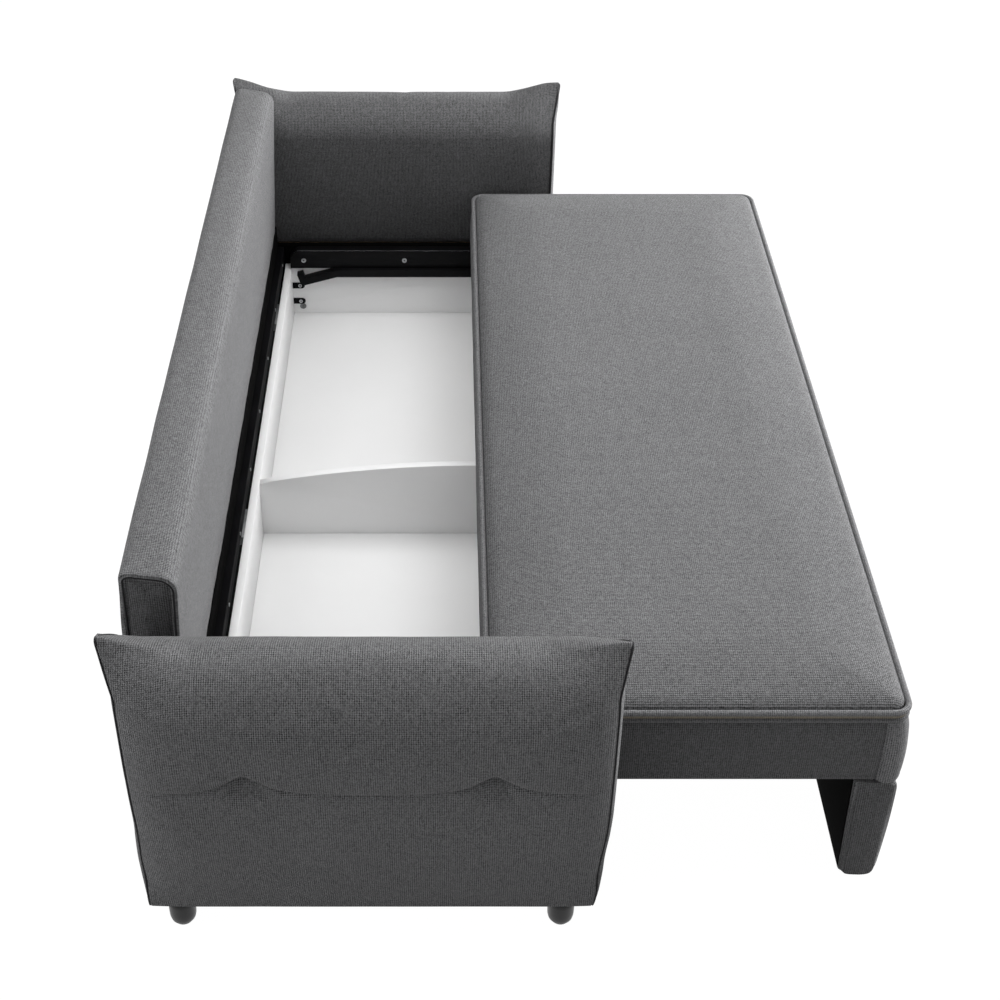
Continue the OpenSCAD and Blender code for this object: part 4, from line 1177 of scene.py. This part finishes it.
class LegPanelForm(SlabForm):
    """The panel under the seat's front, from its packed cover's box. It is thicker at its top."""

    top_thick, foot_thick, sag, end_draw = 0.084, 0.071, 0.007, 0.007
    front_swell, end_dome, foot_reach = 0.003, 0.009, 0.010
    corners = (0.018, 0.010, 0.020, 0.004)

    def __init__(self):
        self.low, self.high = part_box("fascia_cover")
        self.tall = self.high.z - self.low.z
        self.xs = stations(self.high.x - self.low.x, [0.0015, 0.002, 0.003, 0.005, 0.008, 0.012], 0.03)
        self.ys = [v * self.foot_thick for v in stations(1.0, [0.02, 0.03, 0.04, 0.05], 0.09)]
        self.zs = stations(self.tall, [0.002, 0.003, 0.004, 0.006], 0.014)

    def place(self, a, b, c):
        x, u, v = self.stations_at(a, b, c)
        x += self.low.x
        u, v = corner_round((u, self.foot_thick), (v, self.tall), self.corners)
        rise, depth = v / self.tall, u / self.foot_thick
        front = self.low.y + self.sag * (1 - rise)
        thick = self.foot_thick + (self.top_thick - self.foot_thick) * rise
        y, z = front + thick * depth, self.low.z + v
        draw = self.end_draw * (1 - quarter(min(x - self.low.x, self.high.x - x), self.end_draw))
        y += draw * (1 if y < front + thick / 2 else -1)
        z += draw * (1 if rise < 0.5 else 0)
        if a < ON_SIDE or a > 1 - ON_SIDE:
            dome = math.sin(math.pi * depth) * math.sin(math.pi * min(1.0, max(0.0, rise)) * 0.9 + 0.15)
            reach = self.end_dome * max(0.0, dome) ** 0.6 + self.foot_reach * (1 - rise)
            x += reach * (1 if a > 0.5 else -1)
        elif b < ON_SIDE:
            y -= self.front_swell * math.sin(math.pi * rise) + 0.0010 * soft_noise((x, 0, z), 9.0, 7.0)
        return Vector((x, y, z))

    def panel(self, side, a, b, c):
        """1 for the end panels, which take the darker cloth of painted shade."""
        return int(side[0] == "x")


def build_leg_panel():
    # The leg panel's ends take the darker cloth, painted shade
    LegPanelForm().build("leg_panel_fabric", "seat", "fascia_cover", 70, 0.6, extra=("flank",))
    refined("fascia_lining", "leg_panel_lining", "black_lining", 0.0007)


def build_seat_underside():
    """The base cloth under the seat, stapled to its frame and sagging between the rails, and the webbing."""
    low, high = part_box("seat_lining")
    inset, r, lift, deepest = 0.006, 0.02, 0.0016, 0.0012
    low, high = low + Vector((inset, inset, 0)), high - Vector((inset, inset, 0))
    mid_y = (low.y + high.y) / 2
    rails = np.linspace(low.x - inset + 0.02, high.x + inset - 0.02, 5)
    bm = bmesh.new()
    bmesh.ops.create_grid(bm, x_segments=96, y_segments=40, size=0.5)
    for v in bm.verts:
        u, w = v.co.x + 0.5, v.co.y + 0.5
        x = low.x + (high.x - low.x) * u
        y = low.y + (high.y - low.y) * w
        cx = max(0.0, abs(x) - (high.x - r))
        cy = max(0.0, abs(y - mid_y) - (high.y - mid_y - r))
        if cx > 0 and cy > 0:
            x -= math.copysign(cx - cx * math.sqrt(1 - (cy / r) ** 2 / 2), x)
            y -= math.copysign(cy - cy * math.sqrt(1 - (cx / r) ** 2 / 2), y - mid_y)
        reach = min(abs(x - rail) for rail in rails)
        sag = deepest * math.sin(math.pi * min(1.0, reach / 0.24)) * math.sin(math.pi * w)
        v.co = (x, y, low.z + lift - sag)
    box_map(bm)
    made = piece("seat_base_cloth", bm, "black_lining", "seat", ("seat_lining",))
    thickened(made, "cloth", 0.0006, 1.0)
    build_webbing()


def build_webbing():
    """Straps along and across the seat frame, one over and one under."""
    low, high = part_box("seat_webbing")
    mid, wide, count, lift, crossing = (low.z + high.z) / 2, 0.060, 16, 0.0007, 0.034
    bm = bmesh.new()
    uv = bm.loops.layers.uv.new(WEAVE_UV)

    def strap(start, end, crossings, first):
        made = bmesh.ops.create_grid(bm, x_segments=60, y_segments=4, size=0.5)["verts"]
        along = Vector(end) - Vector(start)
        ahead = along.normalized()
        side = Vector((-ahead.y, ahead.x, 0))
        for v in made:
            t = v.co.x + 0.5
            p = Vector(start) + along * t + side * v.co.y * wide
            for k, at in enumerate(crossings):
                p.z += bell((t - at) * along.length, crossing, 4) * lift * (1 if (k + first) % 2 else -1)
            v.co = p
        for v in made:
            for loop in v.link_loops:
                loop[uv].uv = loop.vert.co.xy

    reach = high.x - 0.030
    xs = [-reach + (k + 0.5) * 2 * reach / count for k in range(count)]
    ys = [SEAT_LOW.y + k * (SEAT_HIGH.y - SEAT_LOW.y) / 4 for k in (1, 2, 3)]
    for k, x in enumerate(xs):
        strap((x, low.y, mid), (x, high.y, mid), [(y - low.y) / (high.y - low.y) for y in ys], k)
    for k, y in enumerate(ys):
        strap((low.x, y, mid), (high.x, y, mid), [(x - low.x) / (high.x - low.x) for x in xs], k + 1)
    made = piece("seat_straps", bm, "webbing", "seat", ("seat_webbing",))
    thickened(made, "strap", 0.0010, 0.0)


# Feet, storage box and steelwork


def build_feet():
    """A turned foot: a tapered body with a rounded shoulder and a glide pad, and its stud above."""
    top, stud_radius, sunk = ARM_LOW.z, 0.004, 0.002
    for end in ("front_left", "rear_left", "front_right", "rear_right"):
        low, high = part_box(end + "_foot")
        centre, r = (low + high) / 2, (high.x - low.x) / 2
        # Each point is a share of the radius and a height
        outline = [(0.0, 0.0), (0.62, 0.0), (0.70, 0.0012), (0.72, 0.004), (0.80, 0.0052), (0.92, 0.010),
                   (0.985, 0.018), (1.0, 0.028), (1.0, top - 0.014), (0.985, top - 0.0085),
                   (0.93, top - 0.004), (0.86, top - 0.0015), (0.0, top - 0.0015)]
        bm = bmesh.new()
        line = [bm.verts.new((centre.x + r * share, centre.y, z)) for share, z in outline]
        edges = [bm.edges.new((a, b)) for a, b in zip(line, line[1:])]
        bmesh.ops.spin(bm, geom=line + edges, cent=(centre.x, centre.y, 0), axis=(0, 0, 1),
                       angle=2 * math.pi, steps=40, use_merge=True)
        bmesh.ops.remove_doubles(bm, verts=bm.verts, dist=0.00001)
        outwards(bm)
        middle = Matrix.Translation((centre.x, centre.y, (high.z + top - sunk) / 2))
        stud = bmesh.ops.create_cone(bm, segments=16, radius1=stud_radius, radius2=stud_radius, matrix=middle,
                                     depth=high.z - top + sunk, cap_ends=True)
        for face in {f for v in stud["verts"] for f in v.link_faces}:
            face.material_index = 1
        box_map(bm)
        piece(end + "_turned_foot", bm, "black_plastic", "base", (end + "_foot",), sharp=35, extra=("zinc",))


def build_boards():
    for name in ("box_back_wall", "box_front_wall", "left_end_wall", "right_end_wall",
                 "left_floor", "right_floor", "divider"):
        refined(name, name + "_board", "laminate", sizes().board_edge)


def build_steelwork():
    for name in ("left_side_rail", "right_side_rail"):
        crown_highlight(refined(name, name + "_steel", "black_steel", 0.0045, 5))
    for name in ("left_track", "right_track"):
        refined(name, name + "_steel", "black_steel", 0.0022, 3)
    refined("rear_crossbar", "rear_crossbar_steel", "matt_steel", 0.0022, 3, "black_steel")
    refined("corner_tabs", "corner_tabs_steel", "black_steel", 0.0005)
    for name in ("left_roller_bracket", "right_roller_bracket", "fascia_brackets"):
        refined(name, name + "_steel", "black_steel", 0.0008)


def crown_highlight(rail, share=0.28):
    """Paints a highlight on the inner share of a rail's crown: brighter zinc where the lamps' reflection
    shows.
    """
    mesh = rail.data
    mesh.materials.append(finishes["satin_zinc"])
    top = max(v.co.z for v in mesh.vertices)
    crown = [face for face in mesh.polygons if face.normal.z > 0.3 and face.center.z > top - 0.006]
    reach = [abs(mesh.vertices[k].co.x) for face in crown for k in face.vertices]
    near, far = min(reach), max(reach)
    for face in crown:
        if abs(face.center.x) < near + share * (far - near):
            face.material_index = 1


def build_fittings():
    for row in (("rail_bolts", "rail_bolt_heads", "zinc", 0.0006, 3),
                ("crossbar_screws", "crossbar_screw_heads", "dull_zinc", 0.0005, 3, "zinc"),
                ("tab_rivets", "tab_rivet_heads", "zinc", 0.0005, 3),
                ("cam_connectors", "cam_discs", "dull_zinc", 0.0006, 2, "zinc")):
        socketed(refined(*row))
    for row in (("wall_brackets", "wall_bracket_plates", "dull_zinc", 0.0008, 2, "zinc"),
                ("backrest_bolts", "backrest_bolt_heads", "zinc", 0.0008),
                ("left_roller", "left_nylon_roller", "nylon", 0.0012, 3),
                ("right_roller", "right_nylon_roller", "nylon", 0.0012, 3),
                ("fascia_glides", "leg_panel_glides", "black_plastic", 0.0008)):
        refined(*row)


def build_base():
    """The black boards that carry the rails and the rear, and the timber frames inside the covers."""
    for name in ("left_rail_board", "right_rail_board"):
        refined(name, name + "_panel", "black_lining", 0.0010)
    refined("rear_beam", "rear_beam_panel", "black_lining", 0.0012)
    for name in ("left_arm_frame", "right_arm_frame", "backrest_frame", "seat_frame", "fascia_board"):
        refined(name, name + "_timber", "timber", 0.0012)


# Studio

WHITE = (1.0, 1.0, 1.0, 1.0)

# The floor's reach from its middle and its drop under the feet, and the share and strength of its white
FLOOR_REACH, FLOOR_DROP, PAPER_SHARE, PAPER_STRENGTH = 14.0, 0.0006, 0.93, 1.07

# Strength of the soft light all round
ALL_ROUND = 0.115

# The photograph's view: where the camera stands, and how many degrees it looks down along the sofa
EYE, LOOK_DOWN, LENS, SHIFT = (-3.0500, 0.1339, 2.5091), 37.762, 59.20, 0.0539

# Each lamp's name, place, target, width and height, and power
LAMPS = (
    ("front side", (3.0, -3.8, 1.4), (0.2, 0.2, 0.3), (2.4, 1.6), 205.0),
    ("front", (1.5, -4.4, 1.2), (0.2, 0.2, 0.3), (2.4, 1.6), 142.0),
    ("front middle", (0.0, -4.6, 1.2), (0.0, 0.2, 0.3), (3.6, 1.6), 26.0),
    ("front high", (1.2, -4.0, 2.4), (0.2, 0.2, 0.3), (2.4, 1.6), 208.0),
    ("over front", (0.0, -1.8, 4.2), (0.0, 0.2, 0.0), (3.6, 2.4), 55.0),
    ("over", (0.2, 0.2, 4.2), (0.0, 0.2, 0.0), (4.0, 3.0), 67.0),
    ("over far", (1.6, 0.4, 4.2), (0.2, 0.2, 0.0), (2.4, 3.0), 34.0),
    ("over rear", (0.1, 1.8, 4.2), (0.0, 0.2, 0.0), (3.6, 2.4), 43.0),
    ("near end", (-3.6, 0.0, 3.8), (0.0, 0.0, 0.3), (3.0, 1.6), 18.0),
    ("near low", (-6.0, 0.2, 0.7), (0.0, 0.2, 0.5), (4.0, 1.0), 15.0),
    ("near front", (-3.8, -3.0, 1.2), (-0.6, 0.2, 0.3), (2.0, 1.6), 16.0),
    ("near rear", (-3.8, 3.0, 2.0), (-0.6, 0.2, 0.3), (2.0, 1.6), 27.0),
    ("rear", (-1.4, 4.4, 1.3), (-0.6, 0.3, 0.4), (2.4, 1.6), 85.0),
)


def build_floor():
    """A floor of pale paper, which a camera and gloss see nearly white."""
    bm = bmesh.new()
    bmesh.ops.create_grid(bm, x_segments=4, y_segments=4, size=FLOOR_REACH)
    bmesh.ops.translate(bm, vec=(0, 0, -FLOOR_DROP), verts=bm.verts)
    mesh = bpy.data.meshes.new("studio_floor")
    bm.to_mesh(mesh)
    bm.free()
    floor = bpy.data.objects.new("studio_floor", mesh)
    bpy.context.scene.collection.objects.link(floor)
    mat = bpy.data.materials.new("studio paper")
    mat.use_nodes = True
    tree = mat.node_tree
    tree.nodes.clear()
    seen = add(tree, "LightPath").outputs
    straight = add(tree, "Math", {0: seen["Is Camera Ray"], 1: seen["Is Glossy Ray"]}, operation="MAXIMUM")
    share = add(tree, "Math", {0: straight.outputs[0], 1: PAPER_SHARE}, operation="MULTIPLY")
    paper = add(tree, "BsdfDiffuse", {"Color": (*colours().floor, 1.0)})
    white = add(tree, "Emission", {"Strength": PAPER_STRENGTH})
    mixed = add(tree, "MixShader", {0: share.outputs[0], 1: paper.outputs[0], 2: white.outputs[0]})
    add(tree, "OutputMaterial", {"Surface": mixed.outputs[0]})
    mesh.materials.append(mat)


def build_world():
    """A soft light all round, with white behind the sofa."""
    world = bpy.data.worlds.new("studio")
    world.use_nodes = True
    tree = world.node_tree
    tree.nodes.clear()
    seen = add(tree, "LightPath").outputs["Is Camera Ray"]
    soft = add(tree, "Background", {"Strength": ALL_ROUND})
    back = add(tree, "Background", {"Color": WHITE, "Strength": 1.0})
    mixed = add(tree, "MixShader", {0: seen, 1: soft.outputs[0], 2: back.outputs[0]})
    add(tree, "OutputWorld", {"Surface": mixed.outputs[0]})
    bpy.context.scene.world = world


def build_studio():
    scene = bpy.context.scene
    build_floor()
    build_world()
    for name, place, target, (width, height), power in LAMPS:
        light = bpy.data.lights.new(name, "AREA")
        light.shape = "RECTANGLE"
        light.size, light.size_y = width, height
        light.energy = power
        lamp = bpy.data.objects.new(name, light)
        lamp.location = place
        lamp.rotation_euler = (Vector(target) - Vector(place)).to_track_quat("-Z", "Y").to_euler()
        scene.collection.objects.link(lamp)

    camera = bpy.data.cameras.new("photo view")
    camera.lens = LENS
    camera.sensor_width = 36.0
    camera.shift_x = SHIFT
    camera.clip_start, camera.clip_end = 0.05, 60.0
    eye = bpy.data.objects.new("photo view", camera)
    eye.location = EYE
    eye.rotation_euler = (math.radians(90 - LOOK_DOWN), 0.0, math.radians(-90))
    scene.collection.objects.link(eye)
    scene.camera = eye
    scene.view_settings.view_transform = "Standard"


# Operators, one for each piece or group of like pieces


class SOFA_OT_finishes(bpy.types.Operator):
    """Makes the cloth, laminate, steel and other finishes"""

    bl_idname = "sofa.finishes"
    bl_label = "Finishes"

    def execute(self, context):
        make_finishes()
        return {"FINISHED"}


class SOFA_OT_arms(bpy.types.Operator):
    """Builds the two tufted arms"""

    bl_idname = "sofa.arms"
    bl_label = "Arms"

    def execute(self, context):
        build_arms()
        return {"FINISHED"}


class SOFA_OT_arm_piping(bpy.types.Operator):
    """Builds the piping along the arms' edges"""

    bl_idname = "sofa.arm_piping"
    bl_label = "Arm Piping"

    def execute(self, context):
        build_arm_piping()
        return {"FINISHED"}


class SOFA_OT_backrest(bpy.types.Operator):
    """Builds the backrest's cover and the piping round its ends"""

    bl_idname = "sofa.backrest"
    bl_label = "Backrest"

    def execute(self, context):
        build_backrest()
        return {"FINISHED"}


class SOFA_OT_rear_cover(bpy.types.Operator):
    """Builds the cloth panel across the rear"""

    bl_idname = "sofa.rear_cover"
    bl_label = "Rear Cover"

    def execute(self, context):
        build_rear_cover()
        return {"FINISHED"}


class SOFA_OT_seat_cushion(bpy.types.Operator):
    """Builds the seat cushion"""

    bl_idname = "sofa.seat_cushion"
    bl_label = "Seat Cushion"

    def execute(self, context):
        build_seat_cushion()
        return {"FINISHED"}


class SOFA_OT_seat_welts(bpy.types.Operator):
    """Builds the two welts of the seat and the tape between them"""

    bl_idname = "sofa.seat_welts"
    bl_label = "Seat Welts"

    def execute(self, context):
        build_seat_welts()
        return {"FINISHED"}


class SOFA_OT_apron(bpy.types.Operator):
    """Builds the cloth apron round the seat frame"""

    bl_idname = "sofa.apron"
    bl_label = "Apron"

    def execute(self, context):
        build_apron()
        return {"FINISHED"}


class SOFA_OT_leg_panel(bpy.types.Operator):
    """Builds the leg panel under the seat's front, with its black lining"""

    bl_idname = "sofa.leg_panel"
    bl_label = "Leg Panel"

    def execute(self, context):
        build_leg_panel()
        return {"FINISHED"}


class SOFA_OT_underside(bpy.types.Operator):
    """Builds the base cloth and the webbing under the seat"""

    bl_idname = "sofa.underside"
    bl_label = "Seat Underside"

    def execute(self, context):
        build_seat_underside()
        return {"FINISHED"}


class SOFA_OT_feet(bpy.types.Operator):
    """Builds the four turned feet"""

    bl_idname = "sofa.feet"
    bl_label = "Feet"

    def execute(self, context):
        build_feet()
        return {"FINISHED"}


class SOFA_OT_boards(bpy.types.Operator):
    """Builds the laminated boards of the storage box"""

    bl_idname = "sofa.boards"
    bl_label = "Box Boards"

    def execute(self, context):
        build_boards()
        return {"FINISHED"}


class SOFA_OT_steelwork(bpy.types.Operator):
    """Builds the rails, tracks, crossbar, tabs and brackets"""

    bl_idname = "sofa.steelwork"
    bl_label = "Steelwork"

    def execute(self, context):
        build_steelwork()
        return {"FINISHED"}


class SOFA_OT_fittings(bpy.types.Operator):
    """Builds the screws, bolts, rivets, cams, plates, rollers and glides"""

    bl_idname = "sofa.fittings"
    bl_label = "Fittings"

    def execute(self, context):
        build_fittings()
        return {"FINISHED"}


class SOFA_OT_base(bpy.types.Operator):
    """Builds the black base boards and the timber frames"""

    bl_idname = "sofa.base"
    bl_label = "Base and Frames"

    def execute(self, context):
        build_base()
        return {"FINISHED"}


class SOFA_OT_studio(bpy.types.Operator):
    """Builds the floor, lights and camera"""

    bl_idname = "sofa.studio"
    bl_label = "Studio"

    def execute(self, context):
        build_studio()
        return {"FINISHED"}


STEPS = (
    SOFA_OT_finishes, SOFA_OT_studio, SOFA_OT_arms, SOFA_OT_arm_piping, SOFA_OT_backrest,
    SOFA_OT_rear_cover, SOFA_OT_seat_cushion, SOFA_OT_seat_welts, SOFA_OT_apron, SOFA_OT_leg_panel,
    SOFA_OT_underside, SOFA_OT_feet, SOFA_OT_boards, SOFA_OT_steelwork, SOFA_OT_fittings, SOFA_OT_base,
)


class SOFA_PT_panel(bpy.types.Panel):
    """Lists the sofa's sizes, colours and steps"""

    bl_idname = "SOFA_PT_panel"
    bl_label = "Storage Sofa"
    bl_space_type = "VIEW_3D"
    bl_region_type = "UI"
    bl_category = "Sofa"

    def draw(self, context):
        for group in (context.scene.sofa_sizes, context.scene.sofa_colours):
            column = self.layout.column(align=True)
            for key in group.__annotations__:
                column.prop(group, key)
        column = self.layout.column()
        for step in STEPS:
            column.operator(step.bl_idname)


CLASSES = (SofaSizes, SofaColours, *STEPS, SOFA_PT_panel)


def register():
    for made in CLASSES:
        bpy.utils.register_class(made)
    bpy.types.Scene.sofa_sizes = PointerProperty(type=SofaSizes)
    bpy.types.Scene.sofa_colours = PointerProperty(type=SofaColours)


def unregister():
    del bpy.types.Scene.sofa_colours
    del bpy.types.Scene.sofa_sizes
    for made in reversed(CLASSES):
        bpy.utils.unregister_class(made)


def main():
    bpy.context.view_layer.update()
    register()
    for step in STEPS:
        group, name = step.bl_idname.split(".")
        getattr(getattr(bpy.ops, group), name)()


if __name__ == "__main__":
    main()
